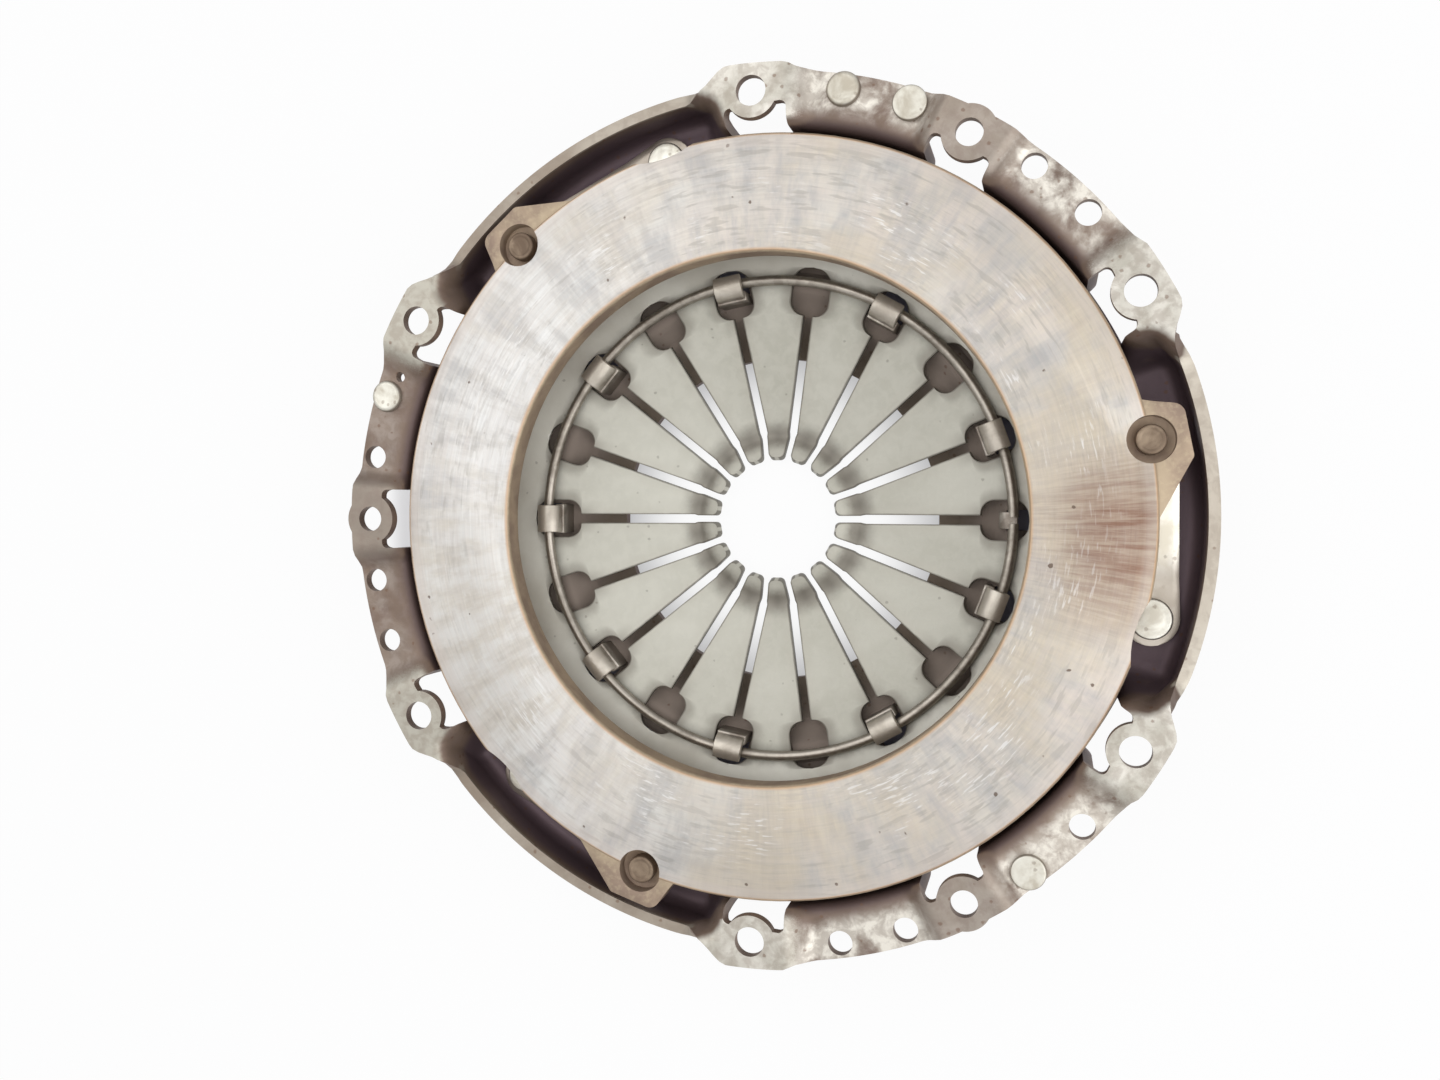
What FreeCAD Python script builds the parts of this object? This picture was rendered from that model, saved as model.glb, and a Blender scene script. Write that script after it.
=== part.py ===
import FreeCAD, Part
import math
import os
import Sketcher
from FreeCAD import Placement, Rotation, Vector

# Diaphragm-spring clutch cover and pressure plate for a 228 mm class clutch.
# Origin: centre of the six-bolt circle, on the flange face that meets the flywheel.
# +Z points at the flywheel. Angles run anticlockwise from +X, seen from the flywheel.
# Depths are measured down from the flange face, so they are positive numbers.

# Driving sizes: name, millimetres or degrees, what it is.
SIZES = [
    ("sheet_thickness", 3.2, "steel sheet of the cover"),
    ("plate_clearance", 1.6, "between the plate's edge and the skirt"),
    ("bolt_margin", 9.4, "from the skirt out to the circle of the six bolts and three dowels"),
    ("flange_margin", 8.0, "from that circle out to the flange's edge"),
    ("bolt_hole", 9.0, "clearance hole for an M8 bolt"),
    ("dowel_hole", 8.0, "locating hole"),
    ("ear_radius", 8.0, "round ear about each bolt or dowel hole"),
    ("sector_angle", 60.0, "middle of the first flange sector"),
    ("pad_pitch", 30.0, "from a sector's dowel to its two bolts"),
    ("pad_start", 25.4, "flat bolt pad begins, degrees from the dowel"),
    ("pad_end", 33.9, "flat bolt pad ends, degrees from the dowel"),
    ("dowel_pad_width", 9.4, "flat dowel pad, degrees of arc"),
    ("channel_start", 6.6, "sunk channel begins, degrees from the dowel"),
    ("channel_end", 21.2, "sunk channel ends, degrees from the dowel"),
    ("channel_depth", 4.8, "channel floor below the flange face"),
    ("balance_offset", 2.3, "circle of the balance holes, outside the bolts'"),
    ("balance_hole", 7.4, "balance hole"),
    ("balance_pitch", 9.0, "between balance holes, degrees"),
    ("gauge_hole", 3.2, "small tooling hole beside a balance hole"),
    ("gauge_angle", 21.3, "that hole from its sector's dowel, degrees"),
    ("skirt_foot", 11.5, "inner radius of the bend at the skirt's foot"),
    ("flange_bend", 1.0, "inner radius of the bend under the flange"),
    ("floor_rise", 1.92, "inner face of the cover's back, above the fulcrum bead's centre"),
    ("window_width", 19.0, "vent window in the skirt under each ear"),
    ("window_inset", 4.2, "outer end of a vent window, inside the bolts' circle"),
    ("window_depth", 29.0, "lower end of a vent window"),
    ("window_corner", 1.6, "corner radius of a vent window"),
    ("window_shift", 0.5, "a bolt's window towards the dowel, degrees"),
    ("window_slant", 0.9, "a bolt's window, deeper on its side by the dowel"),
    ("rim_inset", 2.6, "from the flange's edge in to the raised rim between the sectors"),
    ("rim_depth", 9.7, "top edge of the raised rim"),
    ("rim_width", 41.4, "raised rim, degrees of arc"),
    ("joggle_angle", 38.0, "waist between a bolt pad and the rim, from the dowel"),
    ("joggle_notch", 4.4, "how far the outline draws in at that waist"),
    ("rim_bend", 3.0, "inner radius at the foot of the rim"),
    ("seat_depth", 25.4, "floor that the drive straps are riveted to"),
    ("centre_opening", 52.4, "radius of the opening in the cover's back"),
    ("lip_drop", 3.5, "lip round the central opening, below the hook tabs' ring"),
    ("lip_width", 6.0, "flat of the lip"),
    ("tab_floor_drop", 0.38, "inner face of the hook tabs' ring, below that centre"),
    ("fulcrum_radius", 75.7, "pivot circle of the diaphragm spring"),
    ("wire_depth", 26.3, "centre of the fulcrum wire"),
    ("wire_diameter", 3.2, "fulcrum wire"),
    ("wire_gap", 6.0, "between the two ends of the wire"),
    ("seat_gap", 0.15, "clearance where wire, spring and cover seat"),
    ("bead_groove", 1.0, "inner radius of the cover's fulcrum bead"),
    ("tab_count", 9, "hook tabs"),
    ("tab_phase", 20.0, "first hook tab"),
    ("tab_width", 9.0, "hook tab"),
    ("tab_thickness", 2.5, "hook tab, thinned by coining"),
    ("tab_ledge", 0.6, "ledge where the coined hook begins"),
    ("tab_inset", 5.1, "inner face of a hook tab, inside the fulcrum"),
    ("tab_bend", 1.7, "inner radius of the hook"),
    ("tab_lean", 30.0, "downward lean of the hook's end, degrees"),
    ("tab_reach", 1.6, "straight end of the hook"),
    ("tab_slot_side", 0.6, "clearance beside a tab in the lanced slot"),
    ("tab_slot_reach", 11.3, "outer end of the lanced slot, outside the fulcrum"),
    ("stop_width", 5.2, "small tab between the ends of the wire"),
    ("stop_inset", 4.4, "inner face of the small tab, inside the fulcrum"),
    ("stop_thickness", 2.2, "small tab"),
    ("stop_reach", 1.3, "outer end of the small tab, outside the fulcrum"),
    ("spring_thickness", 2.5, "diaphragm spring"),
    ("spring_overhang", 2.5, "outer edge of the spring, outside the plate's ridge"),
    ("spring_slope", 12.7, "cone angle of the spring, degrees"),
    ("finger_count", 18, "release fingers"),
    ("finger_bend_radius", 27.3, "where the finger tips turn up"),
    ("finger_tip_radius", 20.2, "ends of the fingers"),
    ("finger_tip_rise", 3.0, "rise of the tip from its bend"),
    ("finger_tip_corner", 1.4, "corner radius of a finger's end"),
    ("tip_slot", 2.2, "slot between the finger tips"),
    ("slot", 2.9, "slot between the fingers"),
    ("keyhole_inset", 10.1, "inner end of the keyhole, inside the fulcrum"),
    ("keyhole_reach", 4.6, "outer end of the keyhole, outside the fulcrum"),
    ("keyhole_width", 12.3, "keyhole"),
    ("keyhole_round", 4.6, "inner corner radius of the keyhole"),
    ("keyhole_corner", 4.8, "outer corner radius of the keyhole"),
    ("friction_outer", 116.0, "radius of the friction face"),
    ("friction_inner", 80.8, "radius of the plate's bore"),
    ("face_depth", 5.0, "friction face below the flange face"),
    ("plate_thickness", 14.5, "thick ring of the pressure plate"),
    ("plate_rim_thickness", 9.5, "thin rim of the pressure plate"),
    ("thick_ring_margin", 6.5, "outer edge of the thick ring, outside the ridge"),
    ("edge_chamfer", 0.6, "chamfers of the friction face"),
    ("ridge_inset", 17.0, "circle where the spring bears on the plate, inside its edge"),
    ("ridge_crest", 2.0, "flat crest of that ridge"),
    ("ridge_gap", 0.3, "clearance between ridge and spring"),
    ("lug_angle", 11.5, "first drive lug"),
    ("lug_top_depth", 6.0, "upper face of a drive lug"),
    ("lug_foot_depth", 16.0, "seat of the straps under a drive lug"),
    ("lug_hole_inset", 0.1, "circle of the lug rivets, inside the plate's edge"),
    ("lug_reach", 10.0, "outer end of a drive lug, outside the plate's edge"),
    ("lug_corner", 3.6, "rounded corner of a drive lug"),
    ("counterbore", 13.5, "counterbore about the rivet's tail"),
    ("counterbore_depth", 5.5, "depth of that counterbore"),
    ("scallop_depth", 2.2, "scallop in the friction ring beside a strap rivet"),
    ("scallop_width", 22.0, "chord of the scallop"),
    ("scallop_offset", 1.6, "scallop's middle from the strap rivet, degrees"),
    ("strap_rivet_inset", 8.3, "circle of the rivets in the cover, inside the bolts'"),
    ("strap_rivet_angle", -13.9, "first strap rivet in the cover"),
    ("strap_width", 16.0, "drive strap"),
    ("leaf_thickness", 0.8, "one leaf of a drive strap"),
    ("strap_flat", 9.5, "flat end of a strap, from its rivet"),
    ("rivet_diameter", 8.0, "shank of a strap rivet"),
    ("rivet_fit", 0.05, "clearance round a rivet's shank"),
    ("rivet_head", 12.1, "head of a strap rivet"),
    ("rivet_head_height", 2.1, "height of that head"),
    ("rivet_tail_height", 2.4, "set head on the far side of a strap rivet"),
    ("tail_rise", 4.9, "height of a lug rivet's tail in its counterbore"),
    ("tail_diameter", 8.6, "upset tail of a lug rivet"),
    ("access_hole", 19.0, "hole in the cover behind each lug rivet"),
    ("balance_head", 10.2, "head of a balance rivet"),
    ("balance_head_height", 1.7, "height of that head"),
]
LEAVES = 3
STATIONS = ("a", "b", "c")
THIRD = 120.0
# Balance rivets fitted: flange sector, place in the channels (-2, -1, 1 or 2 from the dowel).
BALANCE_RIVETS = [(0, 2), (0, 1), (1, -2), (2, 1)]


class Size:
    # A number together with the sheet expression that gives it.
    def __init__(self, value, text=None):
        self.value = float(value)
        self.text = text or repr(float(value))

    def __add__(self, other):
        other = as_size(other)
        return Size(self.value + other.value, f"({self.text} + {other.text})")

    def __sub__(self, other):
        other = as_size(other)
        return Size(self.value - other.value, f"({self.text} - {other.text})")

    def __mul__(self, other):
        other = as_size(other)
        return Size(self.value * other.value, f"({self.text} * {other.text})")

    def __truediv__(self, other):
        other = as_size(other)
        return Size(self.value / other.value, f"({self.text} / {other.text})")

    def __neg__(self):
        return Size(-self.value, f"(0 - {self.text})")

    def __radd__(self, other):
        return as_size(other) + self

    def __rsub__(self, other):
        return as_size(other) - self

    def __rmul__(self, other):
        return as_size(other) * self


def as_size(number):
    return number if isinstance(number, Size) else Size(number)


def sine(angle):
    angle = as_size(angle)
    return Size(math.sin(math.radians(angle.value)), f"sin({angle.text})")


def cosine(angle):
    angle = as_size(angle)
    return Size(math.cos(math.radians(angle.value)), f"cos({angle.text})")


def tangent(angle):
    return sine(angle) / cosine(angle)


def root(number):
    number = as_size(number)
    return Size(math.sqrt(number.value), f"sqrt({number.text})")


def turn(half_chord, radius):
    # The angle, in degrees, that half a chord takes at a radius.
    ratio = half_chord / radius
    value = math.degrees(math.asin(ratio.value))
    return Size(value, f"(asin({ratio.text}) / 1 deg)")


doc = FreeCAD.newDocument("clutch_pressure_plate")
sheet = doc.addObject("Spreadsheet::Sheet", "sizes")
for row, (alias, value, note) in enumerate(SIZES, start=1):
    sheet.set(f"A{row}", note)
    sheet.set(f"B{row}", str(value))
    sheet.setAlias(f"B{row}", alias)
doc.recompute()
d = {alias: Size(value, f"sizes.{alias}") for alias, value, note in SIZES}


# helpers

def new_body(name):
    body = doc.addObject("PartDesign::Body", name)
    body.Label = name
    return body


def origin_plane(body, role):
    return next(item for item in body.Origin.OriginFeatures if item.Role == role)


def bind(item, path, size):
    item.setExpression(path, as_size(size).text)


def new_sketch(body, name, role, azimuth=0, height=0):
    # A sketch on an origin plane, turned about Z to an azimuth and raised to a height.
    # On XZ_Plane its x is then the radius and its y is Z; on XY_Plane its x is radial.
    azimuth, height = as_size(azimuth), as_size(height)
    sketch = body.newObject("Sketcher::SketchObject", name)
    sketch.AttachmentSupport = (origin_plane(body, role), [""])
    sketch.MapMode = "FlatFace"
    upright = role == "XZ_Plane"
    axis = Vector(0, 1, 0) if upright else Vector(0, 0, 1)
    lift = Vector(0, height.value, 0) if upright else Vector(0, 0, height.value)
    sketch.AttachmentOffset = Placement(lift, Rotation(axis, azimuth.value))
    bind(sketch, "AttachmentOffset.Rotation.Angle", azimuth)
    bind(sketch, "AttachmentOffset.Base.y" if upright else "AttachmentOffset.Base.z", height)
    return sketch


def fix(sketch, kind, geometry, point, size):
    size = as_size(size)
    place = sketch.addConstraint(Sketcher.Constraint(kind, geometry, point, size.value))
    sketch.setExpression(f"Constraints[{place}]", size.text)


def fix_point(sketch, geometry, point, x, y):
    for kind, size, axis in (("DistanceX", x, -2), ("DistanceY", y, -1)):
        if as_size(size).text == "0.0":
            sketch.addConstraint(Sketcher.Constraint("PointOnObject", geometry, point, axis))
        else:
            fix(sketch, kind, geometry, point, size)


def fix_radius(sketch, geometry, size):
    size = as_size(size)
    place = sketch.addConstraint(Sketcher.Constraint("Radius", geometry, size.value))
    sketch.setExpression(f"Constraints[{place}]", size.text)


def swing(x, y, azimuth):
    # A point of a plan, swung about the origin.
    across, along = cosine(azimuth), sine(azimuth)
    return x * across - y * along, x * along + y * across


def draw_circle(sketch, x, y, radius, azimuth=None):
    x, y, radius = as_size(x), as_size(y), as_size(radius)
    if azimuth is not None:
        x, y = swing(x, y, azimuth)
    circle = Part.Circle(Vector(x.value, y.value, 0), Vector(0, 0, 1), radius.value)
    geometry = sketch.addGeometry(circle)
    fix_point(sketch, geometry, 3, x, y)
    fix_radius(sketch, geometry, radius)


def draw_outline(sketch, corners, azimuth=None):
    # A closed outline. Each corner is (x, y), or (x, y, radius, side) where the edge
    # that leaves it is an arc: side +1 bends anticlockwise, -1 clockwise.
    if azimuth is not None:
        corners = [(*swing(as_size(c[0]), as_size(c[1]), azimuth), *c[2:]) for c in corners]
    count = len(corners)
    edges = []
    for place, corner in enumerate(corners):
        following = corners[(place + 1) % count]
        start = Vector(as_size(corner[0]).value, as_size(corner[1]).value, 0)
        end = Vector(as_size(following[0]).value, as_size(following[1]).value, 0)
        if len(corner) == 2:
            edges.append((sketch.addGeometry(Part.LineSegment(start, end)), 1, 2))
            continue
        radius, side = as_size(corner[2]).value, corner[3]
        chord = end - start
        rise = math.sqrt(max(radius ** 2 - (chord.Length / 2) ** 2, 0))
        across = Vector(-chord.y, chord.x, 0).normalize()
        centre = (start + end) / 2 + across * rise * side
        first, last = (start, end) if side > 0 else (end, start)
        angles = [math.atan2(p.y - centre.y, p.x - centre.x) for p in (first, last)]
        circle = Part.Circle(centre, Vector(0, 0, 1), radius)
        geometry = sketch.addGeometry(Part.ArcOfCircle(circle, angles[0], angles[1]))
        edges.append((geometry, 1, 2) if side > 0 else (geometry, 2, 1))
    for place, (geometry, start, end) in enumerate(edges):
        following, its_start, _ = edges[(place + 1) % count]
        sketch.addConstraint(Sketcher.Constraint("Coincident", geometry, end, following, its_start))
    for (geometry, start, _), corner in zip(edges, corners):
        fix_point(sketch, geometry, start, corner[0], corner[1])
        if len(corner) == 4:
            fix_radius(sketch, geometry, corner[2])


def revolve(body, name, sketch, angle=360):
    feature = body.newObject("PartDesign::Revolution", name)
    feature.Profile = sketch
    feature.ReferenceAxis = (sketch, ["V_Axis"])
    feature.Midplane = True
    feature.Refine = False
    bind(feature, "Angle", angle)
    return feature


def pad(body, name, sketch, length, midplane=False, reverse=False):
    feature = body.newObject("PartDesign::Pad", name)
    feature.Profile = sketch
    feature.Midplane = midplane
    feature.Reversed = reverse
    feature.Refine = False
    bind(feature, "Length", length)
    return feature


def pocket(body, name, sketch, length, midplane=False, reverse=False):
    feature = body.newObject("PartDesign::Pocket", name)
    feature.Profile = sketch
    feature.Midplane = midplane
    feature.Reversed = reverse
    feature.Refine = False
    bind(feature, "Length", length)
    return feature


def polar(body, name, features, count, angle=360):
    # Copies all round the body's Z axis.
    pattern = body.newObject("PartDesign::PolarPattern", name)
    pattern.Originals = features
    pattern.Axis = (next(i for i in body.Origin.OriginFeatures if i.Role == "Z_Axis"), [""])
    pattern.Angle = angle
    pattern.Occurrences = int(as_size(count).value)
    pattern.Refine = False
    if isinstance(count, Size):
        bind(pattern, "Occurrences", count)
    body.Tip = pattern
    return pattern


def finish(body, feature):
    # The last feature merges the faces that the earlier ones left split.
    feature.Refine = True
    body.Tip = feature
    return body


def cylinder_steps(body, name, steps):
    # A turned piece on the body's Z axis: steps are (radius, low z, high z) from below.
    sketch = new_sketch(body, name, "XZ_Plane")
    corners = [(0, steps[0][1])]
    for radius, low, high in steps:
        corners += [(radius, low), (radius, high)]
    corners.append((0, steps[-1][2]))
    draw_outline(sketch, corners)
    return finish(body, revolve(body, name + "_turned", sketch))


# shared places

skirt_wall = d["friction_outer"] + d["plate_clearance"]
bolt_circle = skirt_wall + d["bolt_margin"]
flange_edge = bolt_circle + d["flange_margin"]
balance_circle = bolt_circle + d["balance_offset"]
strap_circle = bolt_circle - d["strap_rivet_inset"]
window_end = bolt_circle - d["window_inset"]
rim_wall = flange_edge - d["rim_inset"]
pivot = d["fulcrum_radius"]
tab_wall = pivot - d["tab_inset"]
stop_wall = pivot - d["stop_inset"]
ridge = d["friction_outer"] - d["ridge_inset"]
spring_edge = ridge + d["spring_overhang"]
lug_circle = d["friction_outer"] - d["lug_hole_inset"]
thick = d["sheet_thickness"]
seat_z = -d["seat_depth"]
wire_z = -d["wire_depth"]
wire_r = d["wire_diameter"] / 2
slope = d["spring_slope"]
steep = tangent(slope)
lean = cosine(slope)
spring_top_at_fulcrum = wire_z - (wire_r + d["seat_gap"]) / lean
spring_drop = d["spring_thickness"] / lean
bead_crest = d["bead_groove"] + thick
bead_z = spring_top_at_fulcrum - spring_drop - (bead_crest + d["seat_gap"]) / lean
floor_z = bead_z + d["floor_rise"]
tab_floor_z = bead_z - d["tab_floor_drop"]
lip_z = tab_floor_z - d["lip_drop"]


def spring_top(radius):
    # Upper face of the spring's cone at a radius.
    return spring_top_at_fulcrum + (radius - pivot) * steep


face_z = -d["face_depth"]
plate_back_z = face_z - d["plate_thickness"]
plate_rim_z = face_z - d["plate_rim_thickness"]
lug_top_z = -d["lug_top_depth"]
lug_foot_z = -d["lug_foot_depth"]
pack_height = LEAVES * d["leaf_thickness"]
rivet_bore = d["rivet_diameter"] / 2 + d["rivet_fit"]
dish_start = skirt_wall - d["skirt_foot"] - 6


# cover

def flange_section(top):
    # Section through the flange and skirt, with the flange's upper face at a height.
    bend = d["flange_bend"]
    skirt, foot = skirt_wall, d["skirt_foot"]
    return [
        (flange_edge, top),
        (skirt + thick + bend, top, bend + thick, 1),
        (skirt, top - thick - bend),
        (skirt, floor_z + foot, foot, -1),
        (skirt - foot, floor_z),
        (dish_start, floor_z),
        (dish_start, floor_z - thick),
        (skirt - foot, floor_z - thick, foot + thick, 1),
        (skirt + thick, floor_z + foot),
        (skirt + thick, top - thick - bend, bend, -1),
        (skirt + thick + bend, top - thick),
        (flange_edge, top - thick),
    ]


def rim_section():
    # Section through the strap floor and the raised rim, edge for edge as the flange's.
    wall = rim_wall - thick
    bend = d["rim_bend"]
    step = seat_z - floor_z
    foot = dish_start + 2.5
    return [
        (wall, -d["rim_depth"]),
        (wall, seat_z + bend, bend, -1),
        (wall - bend, seat_z),
        (foot + step, seat_z, step, -1),
        (foot, floor_z),
        (dish_start, floor_z),
        (dish_start, floor_z - thick),
        (foot, floor_z - thick, step + thick, 1),
        (foot + root((step + thick) * (step + thick) - thick * thick), seat_z - thick),
        (wall - bend, seat_z - thick, bend + thick, 1),
        (wall + thick, seat_z + bend),
        (wall + thick, -d["rim_depth"]),
    ]


def waist_section():
    # Midway between the flange's section and the rim's, but its outer edge stays up at
    # the flange's height, drawn in to a notch.
    corners = []
    for place, (a, b) in enumerate(zip(flange_section(Size(0)), rim_section())):
        x, y = (a[0] + b[0]) / 2, (a[1] + b[1]) / 2
        if place in (0, 11):
            x, y = a[0] - d["joggle_notch"], a[1]
        if place in (3, 7):
            corners.append((x, y, (a[2] + b[2]) / 2, a[3]))
        else:
            corners.append((x, y))
    return corners


def dish_section(sketch):
    # Section through the cover's back: lip, tab ring, fulcrum bead and floor.
    groove, crest = d["bead_groove"], bead_crest
    tab_floor, lip = tab_floor_z, lip_z
    ramp = d["centre_opening"] + d["lip_width"]
    ramp_end = ramp + (tab_floor - lip) * 2
    outer_foot = pivot + root(crest * crest - (floor_z - bead_z) * (floor_z - bead_z))
    inner_foot = pivot - root(crest * crest - (bead_z - tab_floor) * (bead_z - tab_floor))
    draw_outline(sketch, [
        (d["centre_opening"], lip),
        (d["centre_opening"], lip - thick),
        (ramp, lip - thick),
        (ramp_end, tab_floor - thick),
        (pivot - groove, tab_floor - thick),
        (pivot - groove, bead_z, groove, -1),
        (pivot, bead_z + groove, groove, -1),
        (pivot + groove, bead_z),
        (pivot + groove, floor_z - thick),
        (dish_start + 3, floor_z - thick),
        (dish_start + 3, floor_z),
        (outer_foot, floor_z, crest, 1),
        (inner_foot, tab_floor),
        (ramp_end, tab_floor),
        (ramp, lip),
    ])


def hook_section(sketch):
    # A tab that stands on the tab ring and curls outward over the fulcrum wire.
    inner, tab, bend = tab_wall, d["tab_thickness"], d["tab_bend"]
    centre = inner + tab + bend
    out, down = cosine(d["tab_lean"]), sine(d["tab_lean"])
    reach = d["tab_reach"]
    room = wire_r + d["seat_gap"] - bend - (centre - pivot) * down
    top = wire_z + room / out
    tip_x, tip_z = reach * out, reach * down
    foot = tab_floor_z - thick / 2
    draw_outline(sketch, [
        (inner - d["tab_ledge"], foot),
        (inner + tab, foot),
        (inner + tab, top, bend, -1),
        (centre + bend * down, top + bend * out),
        (centre + bend * down + tip_x, top + bend * out - tip_z),
        (centre + (bend + tab) * down + tip_x, top + (bend + tab) * out - tip_z),
        (centre + (bend + tab) * down, top + (bend + tab) * out, bend + tab, 1),
        (inner, top),
        (inner - d["tab_ledge"], top),
    ])


def stop_section(sketch):
    # The small tab that reaches out between the ends of the wire.
    inner, stop = stop_wall, d["stop_thickness"]
    bend = Size(1.0)
    top = wire_z - stop / 2 - bend
    foot = tab_floor_z - thick / 2
    draw_outline(sketch, [
        (inner, foot),
        (inner + stop, foot),
        (inner + stop, top, bend, -1),
        (inner + stop + bend, top + bend),
        (pivot + d["stop_reach"], top + bend),
        (pivot + d["stop_reach"], top + bend + stop),
        (inner + stop + bend, top + bend + stop, bend + stop, 1),
        (inner, top),
    ])


def slot_outline(sketch, inner, outer, width, corner, azimuth=None, slant=Size(0)):
    # A radial slot in plan, square at its inner end and rounded at its outer one. A slant
    # takes its outer end further out on the clockwise side, and less far on the other.
    half = width / 2
    deep, shallow = outer + slant, outer - slant
    draw_outline(sketch, [
        (inner, -half),
        (deep - corner, -half, corner, 1),
        (deep, corner - half),
        (shallow, half - corner, corner, 1),
        (shallow - corner, half),
        (inner, half),
    ], azimuth)


def make_cover():
    body = new_body("clutch_cover")
    sketch = new_sketch(body, "dish_section", "XZ_Plane", 180)
    dish_section(sketch)
    revolve(body, "dish", sketch)
    middle = d["sector_angle"]
    sunk = -d["channel_depth"]
    pad_middle = (d["pad_start"] + d["pad_end"]) / 2
    pad_width = d["pad_end"] - d["pad_start"]
    rim_edge = THIRD / 2 - d["rim_width"] / 2
    zones = [("dowel_pad", Size(0), d["dowel_pad_width"], Size(0))]
    for side, word in ((1, "left"), (-1, "right")):
        channel = (d["channel_start"] + d["channel_end"]) / 2
        zones.append((f"{word}_channel", side * channel, d["channel_end"] - d["channel_start"], sunk))
        zones.append((f"{word}_pad", side * pad_middle, pad_width, Size(0)))
    repeated = []
    for name, offset, width, top in zones:
        sketch = new_sketch(body, name + "_section", "XZ_Plane", middle + offset)
        draw_outline(sketch, flange_section(top))
        repeated.append(revolve(body, name, sketch, width))
    sketch = new_sketch(body, "rim_section", "XZ_Plane", middle + THIRD / 2)
    draw_outline(sketch, rim_section())
    repeated.append(revolve(body, "raised_rim", sketch, d["rim_width"]))
    pad_top, channel_top = flange_section(Size(0)), flange_section(sunk)
    ramps = [
        ("dowel_ramp", [(d["dowel_pad_width"] / 2, pad_top), (d["channel_start"], channel_top)]),
        ("pad_ramp", [(d["channel_end"], channel_top), (d["pad_start"], pad_top)]),
        ("joggle", [(d["pad_end"], pad_top), (d["joggle_angle"], waist_section()),
                    (rim_edge, rim_section())]),
    ]
    for side, word in ((1, "left"), (-1, "right")):
        for name, stations in ramps:
            sections = []
            for number, (offset, corners) in enumerate(stations):
                sketch = new_sketch(body, f"{word}_{name}_{number}", "XZ_Plane", middle + side * offset)
                draw_outline(sketch, corners)
                sections.append(sketch)
            loft = body.newObject("PartDesign::AdditiveLoft", f"{word}_{name}")
            loft.Profile = sections[0]
            loft.Sections = sections[1:]
            loft.Ruled = True
            loft.Refine = False
            repeated.append(loft)
    polar(body, "sectors", repeated, 3)

    # Vent windows through the skirt, the ears that stand over them, the flange's holes,
    # and the strap floor's holes: one at each strap rivet and one behind each lug rivet.
    ears = [(place * d["pad_pitch"], hole) for place, hole in
            ((-1, d["bolt_hole"]), (0, d["dowel_hole"]), (1, d["bolt_hole"]))]
    inner = skirt_wall - d["skirt_foot"] / 2
    sketch = new_sketch(body, "window_plan", "XY_Plane", middle, 1)
    for place, (azimuth, _) in zip((-1, 0, 1), ears):
        azimuth = azimuth - place * d["window_shift"]
        slot_outline(sketch, inner, window_end, d["window_width"], d["window_corner"], azimuth,
                     place * d["window_slant"])
    windows = pocket(body, "vent_windows", sketch, d["window_depth"] + 1)
    sketch = new_sketch(body, "ear_plan", "XY_Plane", middle)
    for azimuth, _ in ears:
        draw_circle(sketch, bolt_circle, 0, d["ear_radius"], azimuth)
    rounds = pad(body, "ears", sketch, thick, reverse=True)
    sketch = new_sketch(body, "flange_hole_plan", "XY_Plane", middle, 1)
    for azimuth, hole in ears:
        draw_circle(sketch, bolt_circle, 0, hole / 2, azimuth)
    for step in (-2, -1, 1, 2):
        draw_circle(sketch, balance_circle, 0, d["balance_hole"] / 2, step * d["balance_pitch"])
    through = d["channel_depth"] + thick + 2
    flange_holes = pocket(body, "flange_holes", sketch, through)
    sketch = new_sketch(body, "floor_hole_plan", "XY_Plane", 0, seat_z + 2)
    draw_circle(sketch, strap_circle, 0, rivet_bore, d["strap_rivet_angle"])
    draw_circle(sketch, lug_circle, 0, d["access_hole"] / 2, d["lug_angle"])
    floor_holes = pocket(body, "floor_holes", sketch, thick + 9)
    polar(body, "sector_holes", [windows, rounds, flange_holes, floor_holes], 3)
    azimuth = middle + THIRD - d["gauge_angle"]
    sketch = new_sketch(body, "gauge_hole_plan", "XY_Plane", azimuth, 1)
    draw_circle(sketch, bolt_circle, 0, d["gauge_hole"] / 2)
    pocket(body, "gauge_hole_cut", sketch, through)

    # Lanced slots in the back, and the hook tabs raised from them.
    deep = -lip_z - d["wire_depth"] + thick
    tab_end = tab_wall + d["tab_thickness"]
    sketch = new_sketch(body, "lanced_slot", "XY_Plane", d["tab_phase"], wire_z)
    width = d["tab_width"] + 2 * d["tab_slot_side"]
    slot_outline(sketch, tab_end, pivot + d["tab_slot_reach"], width, Size(2.0))
    slot = pocket(body, "lanced_slot_cut", sketch, deep)
    sketch = new_sketch(body, "hook_section", "XZ_Plane", d["tab_phase"])
    hook_section(sketch)
    hook = pad(body, "hook_tab", sketch, d["tab_width"], midplane=True)
    polar(body, "hook_tabs", [slot, hook], d["tab_count"])
    sketch = new_sketch(body, "stop_slot", "XY_Plane", 0, wire_z)
    width = d["stop_width"] + 2 * d["tab_slot_side"]
    stop_end = stop_wall + d["stop_thickness"]
    slot_outline(sketch, stop_end, pivot + d["tab_slot_reach"] - 3, width, Size(1.5))
    pocket(body, "stop_slot_cut", sketch, deep)
    sketch = new_sketch(body, "stop_section", "XZ_Plane")
    stop_section(sketch)
    return finish(body, pad(body, "stop_tab", sketch, d["stop_width"], midplane=True))


# diaphragm spring and wire

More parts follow.
